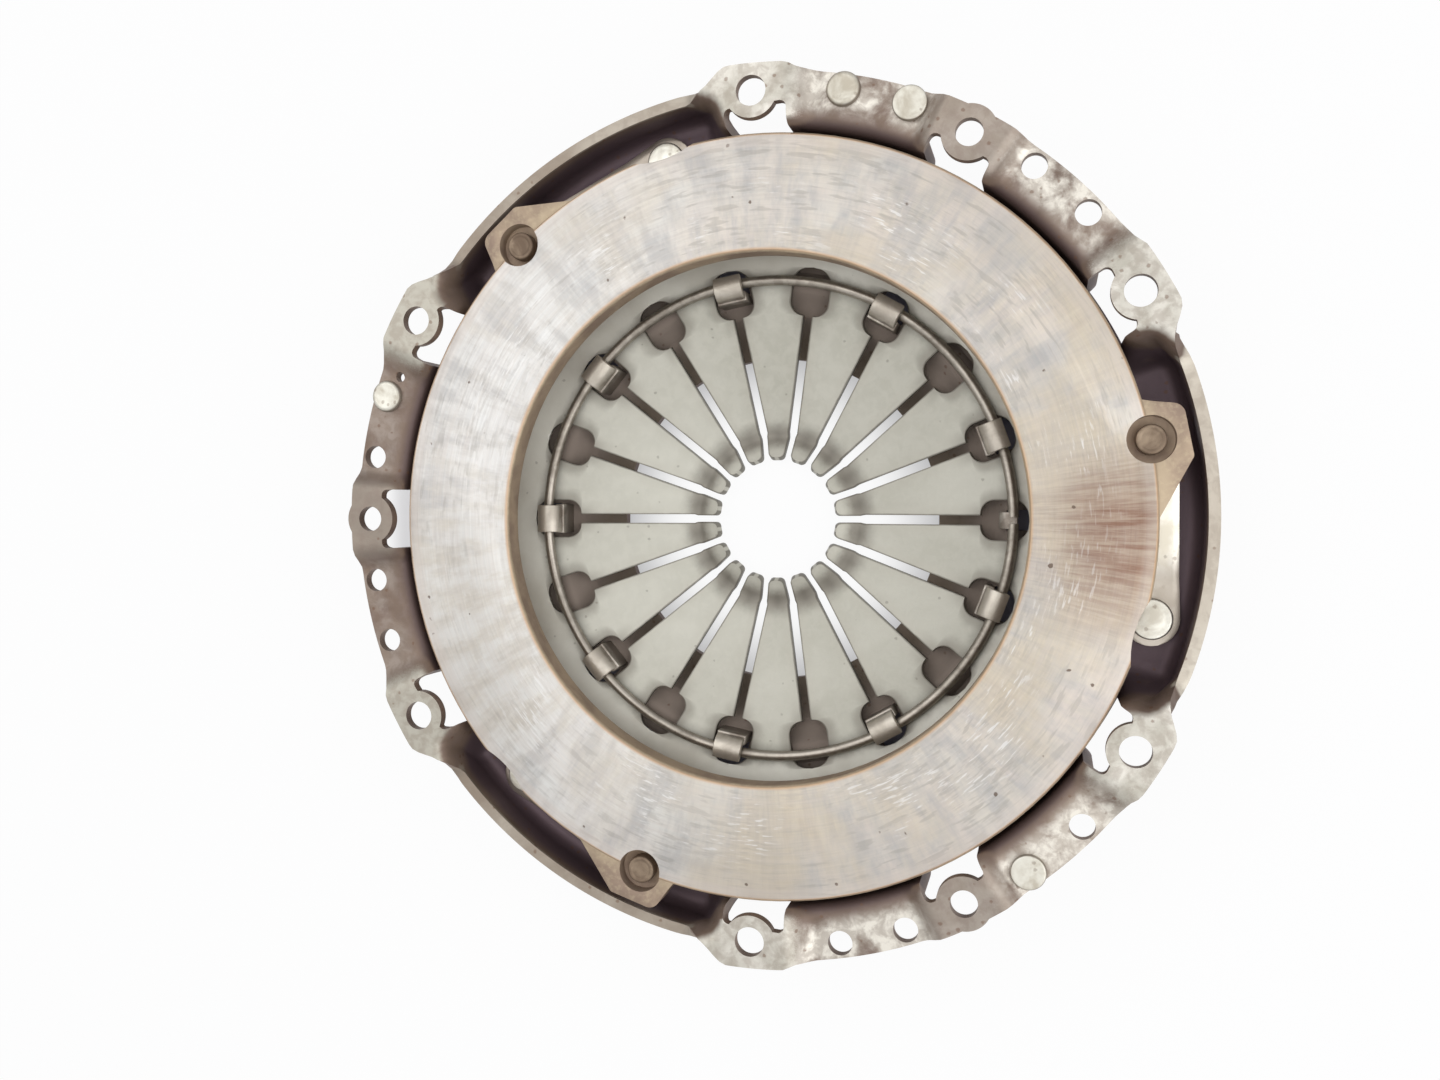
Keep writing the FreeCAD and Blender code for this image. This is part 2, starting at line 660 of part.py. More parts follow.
def make_spring():
    body = new_body("diaphragm_spring")
    tip, bend, outer = d["finger_tip_radius"], d["finger_bend_radius"], spring_edge
    rise = d["finger_tip_rise"]
    sheet_t = d["spring_thickness"]
    sketch = new_sketch(body, "cone_section", "XZ_Plane", 180)
    bend_top = spring_top(bend)
    draw_outline(sketch, [
        (tip, bend_top + rise - sheet_t),
        (bend, bend_top - spring_drop),
        (outer, spring_top(outer) - spring_drop),
        (outer - sheet_t * sine(slope), spring_top(outer - sheet_t * sine(slope))),
        (bend, bend_top),
        (tip, bend_top + rise),
    ])
    revolve(body, "cone", sketch)
    narrow, wide, half = d["tip_slot"] / 2, d["slot"] / 2, d["keyhole_width"] / 2
    large, small = d["keyhole_round"], d["keyhole_corner"]
    start, end = pivot - d["keyhole_inset"], pivot + d["keyhole_reach"]
    corner = d["finger_tip_corner"]
    neck = start + large - root(large * large - (half - large - wide) * (half - large - wide))
    sketch = new_sketch(body, "slot_and_keyhole", "XY_Plane", 0, floor_z - 10)
    draw_outline(sketch, [
        (tip - 1, -narrow - corner),
        (tip, -narrow - corner, corner, -1),
        (tip + corner, -narrow),
        (bend, -narrow),
        (bend + 0.8, -wide),
        (neck, -wide, large, 1),
        (start + large, -half),
        (end - small, -half, small, 1),
        (end, small - half),
        (end, half - small, small, 1),
        (end - small, half),
        (start + large, half, large, 1),
        (neck, wide),
        (bend + 0.8, wide),
        (bend, narrow),
        (tip + corner, narrow, corner, -1),
        (tip, narrow + corner),
        (tip - 1, narrow + corner),
    ])
    slot = pocket(body, "slot_cut", sketch, -lip_z, reverse=True)
    return finish(body, polar(body, "slots", [slot], d["finger_count"]))


def make_wire():
    body = new_body("fulcrum_ring")
    sketch = new_sketch(body, "wire_section", "XZ_Plane", 180)
    draw_circle(sketch, pivot, wire_z, wire_r)
    gap = 2 * turn(d["wire_gap"] / 2, pivot)
    return finish(body, revolve(body, "wire", sketch, 360 - gap))


# pressure plate

def lug_outline(sketch):
    # Plan of a drive lug: a rounded end, a short flank and a long tapering one.
    reach, corner = d["friction_outer"] + d["lug_reach"], d["lug_corner"]
    root_x = d["friction_outer"] - 6
    draw_outline(sketch, [
        (root_x, Size(-27.0)),
        (d["friction_outer"] - 2, Size(-21.8)),
        (reach - 0.6, Size(-7.6), Size(2.0), 1),
        (reach, Size(-5.8)),
        (reach, Size(5.4), corner, 1),
        (reach - corner + 0.8, Size(5.4) + corner - 0.2),
        (d["friction_outer"] + 2.4, Size(10.3)),
        (root_x, Size(13.5)),
    ])


def make_plate():
    body = new_body("pressure_plate")
    inner, outer, edge = d["friction_inner"], d["friction_outer"], d["edge_chamfer"]
    shoulder, half_crest = ridge + d["thick_ring_margin"], d["ridge_crest"] / 2
    ridge_z = spring_top(ridge + half_crest) + d["ridge_gap"] / lean
    half_foot = half_crest + plate_back_z - ridge_z
    sketch = new_sketch(body, "ring_section", "XZ_Plane", 180)
    draw_outline(sketch, [
        (inner + edge, face_z),
        (inner, face_z - edge),
        (inner, plate_back_z + edge),
        (inner + edge, plate_back_z),
        (ridge - half_foot, plate_back_z),
        (ridge - half_crest, ridge_z),
        (ridge + half_crest, ridge_z),
        (ridge + half_foot, plate_back_z),
        (shoulder - 1.5, plate_back_z),
        (shoulder, plate_back_z + 1.5),
        (shoulder, plate_rim_z - 1.5),
        (shoulder + 1.5, plate_rim_z),
        (outer - 1, plate_rim_z),
        (outer, plate_rim_z + 1),
        (outer, face_z - edge),
        (outer - edge, face_z),
    ])
    revolve(body, "ring", sketch)
    sketch = new_sketch(body, "lug_plan", "XY_Plane", d["lug_angle"], lug_top_z)
    lug_outline(sketch)
    lug = pad(body, "lug", sketch, d["lug_foot_depth"] - d["lug_top_depth"], reverse=True)
    polar(body, "lugs", [lug], 3)
    sketch = new_sketch(body, "counterbore_plan", "XY_Plane", d["lug_angle"], face_z + 1)
    draw_circle(sketch, lug_circle, 0, d["counterbore"] / 2)
    sink = pocket(body, "counterbore_cut", sketch, d["counterbore_depth"] + 1)
    sketch = new_sketch(body, "rivet_hole_plan", "XY_Plane", d["lug_angle"], face_z + 1)
    draw_circle(sketch, lug_circle, 0, rivet_bore)
    hole = pocket(body, "rivet_hole", sketch, d["lug_foot_depth"])
    depth, half = d["scallop_depth"], d["scallop_width"] / 2
    radius = (half * half + depth * depth) / (2 * depth)
    azimuth = d["strap_rivet_angle"] - d["scallop_offset"]
    sketch = new_sketch(body, "scallop_plan", "XY_Plane", azimuth, face_z + 1)
    draw_circle(sketch, outer - depth + radius, 0, radius)
    scallop = pocket(body, "scallop", sketch, d["plate_rim_thickness"] + 2)
    return finish(body, polar(body, "strap_features", [sink, hole, scallop], 3))


# drive straps

# A strap lies along the chord from its cover rivet to its lug rivet.
cover_x = strap_circle * cosine(d["strap_rivet_angle"])
cover_y = strap_circle * sine(d["strap_rivet_angle"])
lug_x = lug_circle * cosine(d["lug_angle"])
lug_y = lug_circle * sine(d["lug_angle"])
chord = root((lug_x - cover_x) * (lug_x - cover_x) + (lug_y - cover_y) * (lug_y - cover_y))
strap_rise = lug_foot_z - pack_height - seat_z


def make_leaf(name, level):
    # One spring leaf, in the strap's own frame: origin on the seat at the cover rivet's
    # axis, x along the strap, flat at both ends and sloping between them.
    body = new_body(name)
    leaf, flat, half = d["leaf_thickness"], d["strap_flat"], d["strap_width"] / 2
    sketch = new_sketch(body, name + "_side", "XZ_Plane", 0, level * leaf)
    draw_outline(sketch, [
        (-half, 0),
        (flat, 0),
        (chord - flat, strap_rise),
        (chord + half, strap_rise),
        (chord + half, strap_rise + leaf),
        (chord - flat, strap_rise + leaf),
        (flat, leaf),
        (-half, leaf),
    ])
    pad(body, name + "_strip", sketch, d["strap_width"], midplane=True)
    sketch = new_sketch(body, name + "_ends", "XY_Plane", 0, -1)
    far = half + 2
    draw_outline(sketch, [
        (-far, -far),
        (0, -far),
        (0, -half, half, -1),
        (-half, 0, half, -1),
        (0, half),
        (0, far),
        (-far, far),
    ])
    pocket(body, name + "_near_end", sketch, strap_rise + pack_height + 2, reverse=True)
    sketch = new_sketch(body, name + "_far", "XY_Plane", 0, -1)
    draw_outline(sketch, [
        (chord + far, -far),
        (chord + far, far),
        (chord, far),
        (chord, half, half, -1),
        (chord + half, 0, half, -1),
        (chord, -half),
        (chord, -far),
    ])
    pocket(body, name + "_far_end", sketch, strap_rise + pack_height + 2, reverse=True)
    sketch = new_sketch(body, name + "_holes", "XY_Plane", 0, -1)
    for x in (Size(0), chord):
        draw_circle(sketch, x, 0, rivet_bore)
    height = strap_rise + pack_height + 2
    return finish(body, pocket(body, name + "_rivet_holes", sketch, height, reverse=True))


def place_body(body, azimuth, x, y, z, heading=0):
    # Turn a body about Z by heading, move it to x, y, z, and swing it round to azimuth.
    azimuth, heading = as_size(azimuth), as_size(heading)
    x, y, z = as_size(x), as_size(y), as_size(z)
    out_x = x * cosine(azimuth) - y * sine(azimuth)
    out_y = x * sine(azimuth) + y * cosine(azimuth)
    body.Placement = Placement(
        Vector(out_x.value, out_y.value, z.value),
        Rotation(Vector(0, 0, 1), (azimuth + heading).value),
    )
    bind(body, "Placement.Base.x", out_x)
    bind(body, "Placement.Base.y", out_y)
    bind(body, "Placement.Base.z", z)
    bind(body, "Placement.Rotation.Angle", azimuth + heading)


def make_cover_rivet(name):
    # Origin on the strap floor: flat head above the leaves, set head behind the cover.
    body = new_body(name)
    head, shank = d["rivet_head"] / 2, d["rivet_diameter"] / 2
    cylinder_steps(body, name + "_profile", [
        (head - 0.6, -thick - d["rivet_tail_height"], -thick),
        (shank, -thick, pack_height),
        (head, pack_height, pack_height + d["rivet_head_height"]),
    ])
    return body


def make_lug_rivet(name):
    # Origin on the lug's underside: head under the leaves, tail up in the counterbore.
    body = new_body(name)
    head, shank = d["rivet_head"] / 2, d["rivet_diameter"] / 2
    sink_floor = d["lug_foot_depth"] - d["face_depth"] - d["counterbore_depth"]
    cylinder_steps(body, name + "_profile", [
        (head, -pack_height - d["rivet_head_height"], -pack_height),
        (shank, -pack_height, sink_floor),
        (d["tail_diameter"] / 2, sink_floor, sink_floor + d["tail_rise"] - 1),
    ])
    return body


def make_balance_rivet(name):
    # Origin on the channel floor: flat head above it, set head under it.
    body = new_body(name)
    hole = d["balance_hole"] / 2 - d["rivet_fit"]
    head = d["balance_head"] / 2
    cylinder_steps(body, name + "_profile", [
        (head - 0.5, -thick - 1.4, -thick),
        (hole, -thick, 0),
        (head, 0, d["balance_head_height"]),
    ])
    return body


# assembly

nodes = [make_cover(), make_spring(), make_wire(), make_plate()]
along = Size(
    math.degrees(math.atan2((lug_y - cover_y).value, (lug_x - cover_x).value)),
    f"(atan2({(lug_y - cover_y).text}; {(lug_x - cover_x).text}) / 1 deg)",
)
for place, letter in enumerate(STATIONS):
    azimuth = THIRD * place
    for level in range(LEAVES):
        leaf = make_leaf(f"strap_{letter}_leaf_{level + 1}", level)
        place_body(leaf, azimuth, cover_x, cover_y, seat_z, along)
        nodes.append(leaf)
    rivet = make_cover_rivet(f"strap_{letter}_cover_rivet")
    place_body(rivet, azimuth, cover_x, cover_y, seat_z)
    nodes.append(rivet)
    rivet = make_lug_rivet(f"strap_{letter}_lug_rivet")
    place_body(rivet, azimuth, lug_x, lug_y, lug_foot_z)
    nodes.append(rivet)

# The balance rivets are alike, so they share one node as a group of separate solids.
balance = []
for number, (sector, step) in enumerate(BALANCE_RIVETS, start=1):
    rivet = make_balance_rivet(f"balance_rivet_{number}")
    azimuth = d["sector_angle"] + THIRD * sector + step * d["balance_pitch"]
    place_body(rivet, azimuth, balance_circle, 0, -d["channel_depth"])
    balance.append(rivet)
doc.recompute()
group = doc.addObject("Part::Compound", "balance_rivets")
group.Label = "balance_rivets"
group.Links = balance
nodes.append(group)
doc.recompute()

# checks and export

for item in doc.Objects:
    if "Invalid" in item.State or "Error" in item.State:
        raise RuntimeError(f"{item.Name} failed: {item.State}")
os.makedirs("parts", exist_ok=True)
for node in nodes:
    shape = node.Shape
    if shape.isNull() or not shape.isValid() or shape.Volume <= 0:
        raise RuntimeError(f"{node.Label} has no valid solid")
    shape.exportStep(f"parts/{node.Label}.step")
    print(node.Label, len(shape.Solids), "solid", round(shape.Volume / 1000, 2), "cm3")
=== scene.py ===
import math
from types import SimpleNamespace

import bmesh
import bpy
import numpy as np
from mathutils import Matrix, Vector


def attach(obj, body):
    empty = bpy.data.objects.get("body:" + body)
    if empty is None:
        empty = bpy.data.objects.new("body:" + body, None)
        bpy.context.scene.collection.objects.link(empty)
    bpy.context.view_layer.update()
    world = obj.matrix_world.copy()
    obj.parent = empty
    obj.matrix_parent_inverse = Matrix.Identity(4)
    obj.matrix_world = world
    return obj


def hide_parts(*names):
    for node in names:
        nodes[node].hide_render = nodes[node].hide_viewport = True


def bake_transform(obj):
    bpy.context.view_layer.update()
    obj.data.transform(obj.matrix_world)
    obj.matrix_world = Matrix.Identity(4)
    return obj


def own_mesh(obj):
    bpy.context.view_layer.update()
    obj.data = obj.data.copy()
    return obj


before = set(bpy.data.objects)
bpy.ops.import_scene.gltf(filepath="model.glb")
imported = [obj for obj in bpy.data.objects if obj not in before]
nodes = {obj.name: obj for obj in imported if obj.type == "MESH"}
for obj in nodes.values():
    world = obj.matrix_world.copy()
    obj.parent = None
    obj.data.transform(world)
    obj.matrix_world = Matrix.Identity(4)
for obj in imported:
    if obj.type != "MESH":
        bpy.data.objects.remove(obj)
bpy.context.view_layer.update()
mm = 0.001
print("stage: frame loaded")


# Meshes from arrays

def newObject(name, data):
    made = bpy.data.objects.new(name, data)
    bpy.context.scene.collection.objects.link(made)
    return made


def smoothShaded(mesh, angle=40):
    # smooth but for edges over an angle
    mesh.shade_smooth()
    mesh.set_sharp_from_angle(angle=math.radians(angle))


def linkMesh(name, points, faces, smoothAngle=40):
    # points in millimetres, faces as lists of indices
    mesh = bpy.data.meshes.new(name)
    mesh.from_pydata(np.asarray(points, float) * mm, [], faces)
    mesh.validate()
    smoothShaded(mesh, smoothAngle)
    return newObject(name, mesh)


def gridFaces(rows, columns, closedRows=False, closedColumns=False):
    # quads of a grid of points, row by row, that may close on itself either way
    rowCount = rows if closedRows else rows - 1
    columnCount = columns if closedColumns else columns - 1
    row, column = np.meshgrid(np.arange(rowCount), np.arange(columnCount), indexing="ij")
    nextRow, nextColumn = (row + 1) % rows, (column + 1) % columns
    corners = [row * columns + column, row * columns + nextColumn,
               nextRow * columns + nextColumn, nextRow * columns + column]
    return np.stack(corners, axis=-1).reshape(-1, 4)


def around(radius, height, angle):
    # (r cos a, r sin a, h) for arrays that fit together, as one list of points
    radius, height, angle = np.broadcast_arrays(radius, height, angle)
    return np.stack([radius * np.cos(angle), radius * np.sin(angle), height], axis=-1).reshape(-1, 3)


def outwards(piece, allUp=False):
    # doubles merged and faces turned outwards, or all of them upwards
    work = bmesh.new()
    work.from_mesh(piece.data)
    bmesh.ops.remove_doubles(work, verts=work.verts, dist=2e-6 if allUp else 1e-6)
    if allUp:
        for face in work.faces:
            face.normal_update()
            if face.normal.z < 0:
                face.normal_flip()
    else:
        bmesh.ops.recalc_face_normals(work, faces=work.faces)
    work.to_mesh(piece.data)
    work.free()


def fullTurn(count):
    # angles once round, open before the first comes back
    return np.linspace(0, 2 * np.pi, count, endpoint=False)


def revolveMesh(name, profile, steps, closed=True, smoothAngle=40):
    # a profile of (radius, height) turned once round Z: a closed one makes a ring, and an open
    # one starts and ends on the axis
    profile = np.asarray(profile, float)
    points = around(profile[:, :1], profile[:, 1:], fullTurn(steps))
    piece = linkMesh(name, points, gridFaces(len(profile), steps, closed, True).tolist(), smoothAngle)
    outwards(piece)
    return piece


def arcPoints(centre, radius, start, end, count):
    # points of an arc from one angle in degrees to another
    turn = np.radians(np.linspace(start, end, count))
    return np.stack([centre[0] + radius * np.cos(turn), centre[1] + radius * np.sin(turn)], axis=-1)


def twoSided(name, first, second):
    # two like outlines of points closed by walls between them
    count = len(first)
    faces = [list(range(count)), list(range(2 * count - 1, count - 1, -1))]
    faces += [[i, (i + 1) % count, count + (i + 1) % count, count + i] for i in range(count)]
    piece = linkMesh(name, np.vstack([first, second]), faces)
    outwards(piece)
    return piece


def prismMesh(name, outline, low, high, azimuth=0):
    # an outline of (radial, sideways) points raised from low to high, turned to an azimuth
    along, beside = np.asarray(outline, float).T
    turn = math.radians(azimuth)
    x = along * math.cos(turn) - beside * math.sin(turn)
    y = along * math.sin(turn) + beside * math.cos(turn)
    return twoSided(name, *[np.stack([x, y, np.full(len(x), height)], axis=-1) for height in (low, high)])


def standingPrism(name, section, width):
    # a section of (radius, height) given a width sideways
    radius, height = np.asarray(section, float).T
    return twoSided(name, *[np.stack([radius, np.full(len(radius), side * width / 2), height], axis=-1)
                            for side in (-1, 1)])


def joinPieces(name, pieces, turns=(0,)):
    # one object from several, repeated at turns round Z in degrees
    work = bmesh.new()
    for turn in turns:
        for piece in pieces:
            copy = piece.data.copy()
            copy.transform(Matrix.Rotation(math.radians(turn), 4, "Z"))
            work.from_mesh(copy)
            bpy.data.meshes.remove(copy)
    for piece in pieces:
        bpy.data.objects.remove(piece)
    mesh = bpy.data.meshes.new(name)
    work.to_mesh(mesh)
    work.free()
    smoothShaded(mesh)
    return newObject(name, mesh)


def reshape(piece, kind, smoothAngle=40, **settings):
    # the shape with one modifier, as a plain mesh
    modifier = piece.modifiers.new(kind, kind)
    for key, value in settings.items():
        setattr(modifier, key, value)
    graph = bpy.context.evaluated_depsgraph_get()
    mesh = bpy.data.meshes.new_from_object(piece.evaluated_get(graph))
    piece.modifiers.clear()
    old = piece.data
    piece.data = mesh
    bpy.data.meshes.remove(old)
    smoothShaded(mesh, smoothAngle)


def cutAway(piece, cutter, smoothAngle=40, operation="DIFFERENCE"):
    # the cutter's shape taken out of the piece, or added to it
    reshape(piece, "BOOLEAN", smoothAngle, operation=operation, solver="MANIFOLD", object=cutter)
    bpy.data.objects.remove(cutter)


def bevelEdges(piece, width, segments=3, angle=35):
    reshape(piece, "BEVEL", width=width * mm, segments=segments, limit_method="ANGLE",
            angle_limit=math.radians(angle))


def thicken(piece, thickness, smoothAngle, even=True):
    # the sheet's thickness given below its upper faces
    reshape(piece, "SOLIDIFY", smoothAngle, thickness=thickness * mm, offset=-1, use_even_offset=even)


def smoothStep(value, start, run):
    # 3 v^2 - 2 v^3, 0 up to the start and 1 after the run
    value = np.clip((value - start) / run, 0, 1)
    return value * value * (3 - 2 * value)


# Pressed cover: a sheet whose section changes round the axis

cover = {
    "sheet": 3.2, "flangeRadius": 135, "boltCircle": 127, "skirt": 117.6, "bend": 3.8, "foot": 11.5,
    "floor": -33.2, "channelDepth": 4.8, "dowelPadHalf": 4.4, "channelStart": 7.3, "channelEnd": 21,
    "padStart": 25.4, "padTrim": 1.2, "trimStart": 24, "trimRun": 1.8, "joggle": 33, "joggleDraw": 6,
    "joggleRun": 4.4, "joggleEnd": 37.4, "joggleEndRun": 2.9, "foldStart": 33.6, "foldLag": 3.2,
    "foldWidth": 5.8, "foldNarrow": 2.4, "rimTop": -9.7, "rimWall": 129.2, "rimBend": 4, "seat": -25.4,
    "step": 7.8, "stepFoot": 102.6, "dishEdge": 100.1, "rows": 64, "aroundSteps": 432, "firstAngle": 0.21,
    "edgeShare": 0.24, "lagPower": 1.5, "drawKept": 0.4,
    # firstAngle keeps the mesh's lines clear of the cuts
}


def evenly(points, count):
    # a polyline resampled at even steps of length
    points = np.asarray(points, float)
    length = np.concatenate([[0], np.cumsum(np.linalg.norm(np.diff(points, axis=0), axis=1))])
    at = np.linspace(0, length[-1], count)
    return np.stack([np.interp(at, length, points[:, i]) for i in range(2)], axis=-1)


def padSection(top):
    # upper side of the sheet from the flange's edge in to the dish, in (radius, height)
    c = SimpleNamespace(**cover)
    corner = (c.skirt + c.bend, top - c.bend)
    foot = (c.skirt - c.foot, c.floor + c.foot)
    return np.vstack([
        [(c.flangeRadius, top)],
        arcPoints(corner, c.bend, 90, 180, 9),
        arcPoints(foot, c.foot, 0, -90, 15),
        [(c.dishEdge, c.floor)],
    ])


def rimSection():
    # the same from the raised rim's edge down its wall and over the strap floor
    c = SimpleNamespace(**cover)
    bend = (c.rimWall - c.rimBend, c.seat + c.rimBend)
    drop = c.seat - c.floor
    step = (c.stepFoot + math.sqrt(2 * c.step * drop - drop * drop), c.seat - c.step)
    fall = math.degrees(math.asin(1 - drop / c.step))
    return np.vstack([
        [(c.rimWall, c.rimTop)],
        arcPoints(bend, c.rimBend, 0, -90, 9),
        arcPoints(step, c.step, 90, 180 - fall, 13),
        [(c.dishEdge, c.floor)],
    ])


def coverShell():
    # (1 - w) x flange section + w x rim section, where w rises round the angle, and later at
    # the outer edge than at the skirt; the flange itself sinks in channels by another step,
    # (1 - s) x pad + s x channel, and its edge is drawn in where the sheet folds down
    c = SimpleNamespace(**cover)
    share = np.linspace(0, 1, c.rows)[:, None]
    angle = c.firstAngle + np.linspace(0, 360, c.aroundSteps, endpoint=False)[None, :]
    fromDowel = 60 - np.abs((angle + 60) % 120 - 60)
    high = evenly(padSection(0), c.rows)
    low = evenly(padSection(-c.channelDepth), c.rows)
    rim = evenly(rimSection(), c.rows)
    sunk = smoothStep(fromDowel, c.dowelPadHalf, c.channelStart - c.dowelPadHalf)
    raised = smoothStep(fromDowel, c.channelEnd, c.padStart - c.channelEnd)
    sunk = sunk * (1 - raised)
    outer = np.clip(1 - share / c.edgeShare, 0, 1)    # 1 at the edge, 0 at the skirt's bend
    start = c.foldStart + c.foldLag * outer ** c.lagPower
    weight = smoothStep(fromDowel, start, c.foldWidth - c.foldNarrow * outer)
    section = high[:, None, :] * (1 - sunk[..., None]) + low[:, None, :] * sunk[..., None]
    section = section * (1 - weight[..., None]) + rim[:, None, :] * weight[..., None]
    drawn = c.joggleDraw * smoothStep(fromDowel, c.joggle, c.joggleRun)
    drawn = drawn * (1 - smoothStep(fromDowel, c.joggleEnd, c.joggleEndRun))
    trimmed = c.padTrim * (1 - smoothStep(fromDowel, c.trimStart, c.trimRun))
    trimmed = trimmed * (1 - smoothStep(fromDowel, c.joggle, 1))
    radius = section[..., 0] - drawn * outer * (1 - c.drawKept * weight) - trimmed * outer
    inner = dishSection()[1:]
    turn = np.radians(angle)
    points = np.concatenate([around(radius, section[..., 1], turn), around(inner[:, :1], inner[:, 1:], turn)])
    faces = gridFaces(c.rows + len(inner), c.aroundSteps, False, True)
    shell = linkMesh("coverShell", points, faces.tolist(), 60)
    thicken(shell, c.sheet, 60)
    outwards(shell)
    return shell


dish = {
    "pivot": 75.7, "bead": 4.2, "beadHeight": -35.12, "tabFloor": -35.5, "rampEnd": 65.4, "lipStart": 58.4,
    "opening": 52.4, "lip": -39, "rings": (94, 87), "rampRound": 0.6, "lipRound": 0.8, "dip": 0.1,
    "softFoot": [(0.98, 1.15), (2.05, 2.05), (3.3, 2.68), (4.7, 2.98)],      # in and down from the crest's end
}


def dishSection():
    # upper side of the cover's back: floor, fulcrum bead with a soft foot, tab ring, ramp and lip
    k = SimpleNamespace(**dish)
    rise = cover["floor"] - k.beadHeight
    outerFoot = math.degrees(math.asin(rise / k.bead))
    crest = arcPoints((k.pivot, k.beadHeight), k.bead, outerFoot, 140, 9)
    return np.vstack([
        [(radius, cover["floor"]) for radius in (cover["dishEdge"], *k.rings)],
        crest, crest[-1] - k.softFoot,
        [(k.rampEnd + k.rampRound, k.tabFloor), (k.rampEnd, k.tabFloor - k.dip)],
        [(k.lipStart + k.lipRound, k.lip + 2 * k.dip), (k.lipStart, k.lip), (k.opening, k.lip)],
    ])


window = {"width": 19, "inner": 111.9, "reach": 122.8, "corner": 2, "ear": 8, "slant": 0.9,
          "shift": 0.5, "low": -29}


def windowOutline(slant):
    # square inner end, and an outer end with rounded corners that runs at a slant
    w = SimpleNamespace(**window)
    half = w.width / 2
    side = half * np.sin(np.linspace(-np.pi / 2, np.pi / 2, 61))
    corner = np.clip((np.abs(side) - (half - w.corner)) / w.corner, 0, 1)
    end = w.reach - slant * side / half - w.corner * (1 - np.sqrt(1 - corner ** 2))
    return np.vstack([[(w.inner, -half)], np.stack([end, side], axis=-1), [(w.inner, half)]])


holes = {"bolt": 4.5, "dowel": 4, "balance": 3.7, "gauge": 1.6, "gaugeAngle": 158.7,
         "balanceCircle": 129.3, "balanceStep": 9, "strapRivet": 4.05, "strapCircle": 118.7,
         "strapAngle": -13.9, "access": 9.5, "lugCircle": 115.9, "lugAngle": 11.5, "above": 5,
         "padLow": -6, "channelLow": -12, "strapLow": -32, "accessLow": -36, "seatAbove": -20}


def roundPrism(name, circle, radius, low, high, azimuth, count=48):
    # a round bar on a circle round the axis
    turn = fullTurn(count)
    outline = np.stack([circle + radius * np.cos(turn), radius * np.sin(turn)], axis=-1)
    return prismMesh(name, outline, low, high, azimuth)


def cutCover(shell):
    # windows out, round ears in, then every hole
    h, bolts, above = SimpleNamespace(**holes), cover["boltCircle"], holes["above"]
    windows, ears, cutters = [], [], []
    for sector in (60, 180, 300):
        for side in (-1, 0, 1):
            azimuth = sector + side * 30
            windows.append(prismMesh("window", windowOutline(side * window["slant"]), window["low"], above,
                                     azimuth - side * window["shift"]))
            ears.append(roundPrism("ear", bolts, window["ear"], 0.02 - cover["sheet"], -0.02, azimuth, 72))
            radius = h.bolt if side else h.dowel
            cutters.append(roundPrism("hole", bolts, radius, h.padLow, above, azimuth))
        for step in (-2, -1, 1, 2):
            azimuth = sector + step * h.balanceStep
            cutters.append(roundPrism("hole", h.balanceCircle, h.balance, h.channelLow, above, azimuth))
    for arc in (0, 120, 240):
        cutters.append(roundPrism("hole", h.strapCircle, h.strapRivet, h.strapLow, h.seatAbove, arc + h.strapAngle))
        cutters.append(roundPrism("hole", h.lugCircle, h.access, h.accessLow, h.seatAbove, arc + h.lugAngle))
    cutters.append(roundPrism("hole", bolts, h.gauge, h.channelLow, above, h.gaugeAngle, 24))
    cutAway(shell, joinPieces("windows", windows), 50)
    cutAway(shell, joinPieces("ears", ears), 50, "UNION")
    cutAway(shell, joinPieces("cutters", cutters), 50)
    slots = [slotPrism(tab["slot"], azimuth) for azimuth in tab["azimuths"]]
    slots.append(slotPrism(stop["slot"], 0))
    cutAway(shell, joinPieces("slots", slots), 50)


slotHeights = (-45, -26)


def slotPrism(sizes, azimuth):
    # a slot through the back with a square inner end and round outer corners
    inner, outer, width, corner = sizes
    half = width / 2
    outline = np.vstack([
        [(inner, -half)],
        arcPoints((outer - corner, corner - half), corner, -90, 0, 6),
        arcPoints((outer - corner, half - corner), corner, 0, 90, 6),
        [(inner, half)],
    ])
    return prismMesh("slot", outline, *slotHeights, azimuth)


# slot: inner and outer radius, width and corner
tab = {"azimuths": range(20, 380, 40), "slot": (73.1, 87, 10.2, 2), "inner": 70.6, "sheet": 2.5,
       "bend": 1.7, "lean": 30, "reach": 1.6, "width": 9, "ledge": 0.6, "foot": -37, "wire": -26.3,
       "wireRadius": 1.6, "gap": 0.15, "edge": 0.32}
stop = {"slot": (73.5, 84, 6.4, 1.5), "inner": 71.3, "sheet": 2.2, "bend": 1, "tip": 77,
        "width": 5.2, "edge": 0.3}


def hookTabs():
    # each tab: a section of wall, quarter curl and tip, as wide as the tab
    t = SimpleNamespace(**tab)
    back = t.inner + t.sheet
    centre = back + t.bend
    out, down = math.cos(math.radians(t.lean)), math.sin(math.radians(t.lean))
    room = t.wireRadius + t.gap - t.bend - (centre - dish["pivot"]) * down
    top = t.wire + room / out
    lean = 90 - t.lean
    tip = np.array([t.reach * out, -t.reach * down])
    inside = arcPoints((centre, top), t.bend, 180, lean, 10)
    outside = arcPoints((centre, top), t.bend + t.sheet, lean, 180, 14)
    curl = np.vstack([[(back, top - 1)], inside, [inside[-1] + tip], [outside[0] + tip], outside,
                      [(t.inner, top - 1)]])
    front = t.inner - t.ledge
    wall = [(front, t.foot), (back, t.foot), (back, top), (front, top)]
    pieces = [standingPrism("curl", curl, t.width), standingPrism("wall", wall, t.width + 0.6)]
    for piece in pieces:
        bevelEdges(piece, t.edge, 3, 40)
    return joinPieces("hookTabs", pieces, t.azimuths)


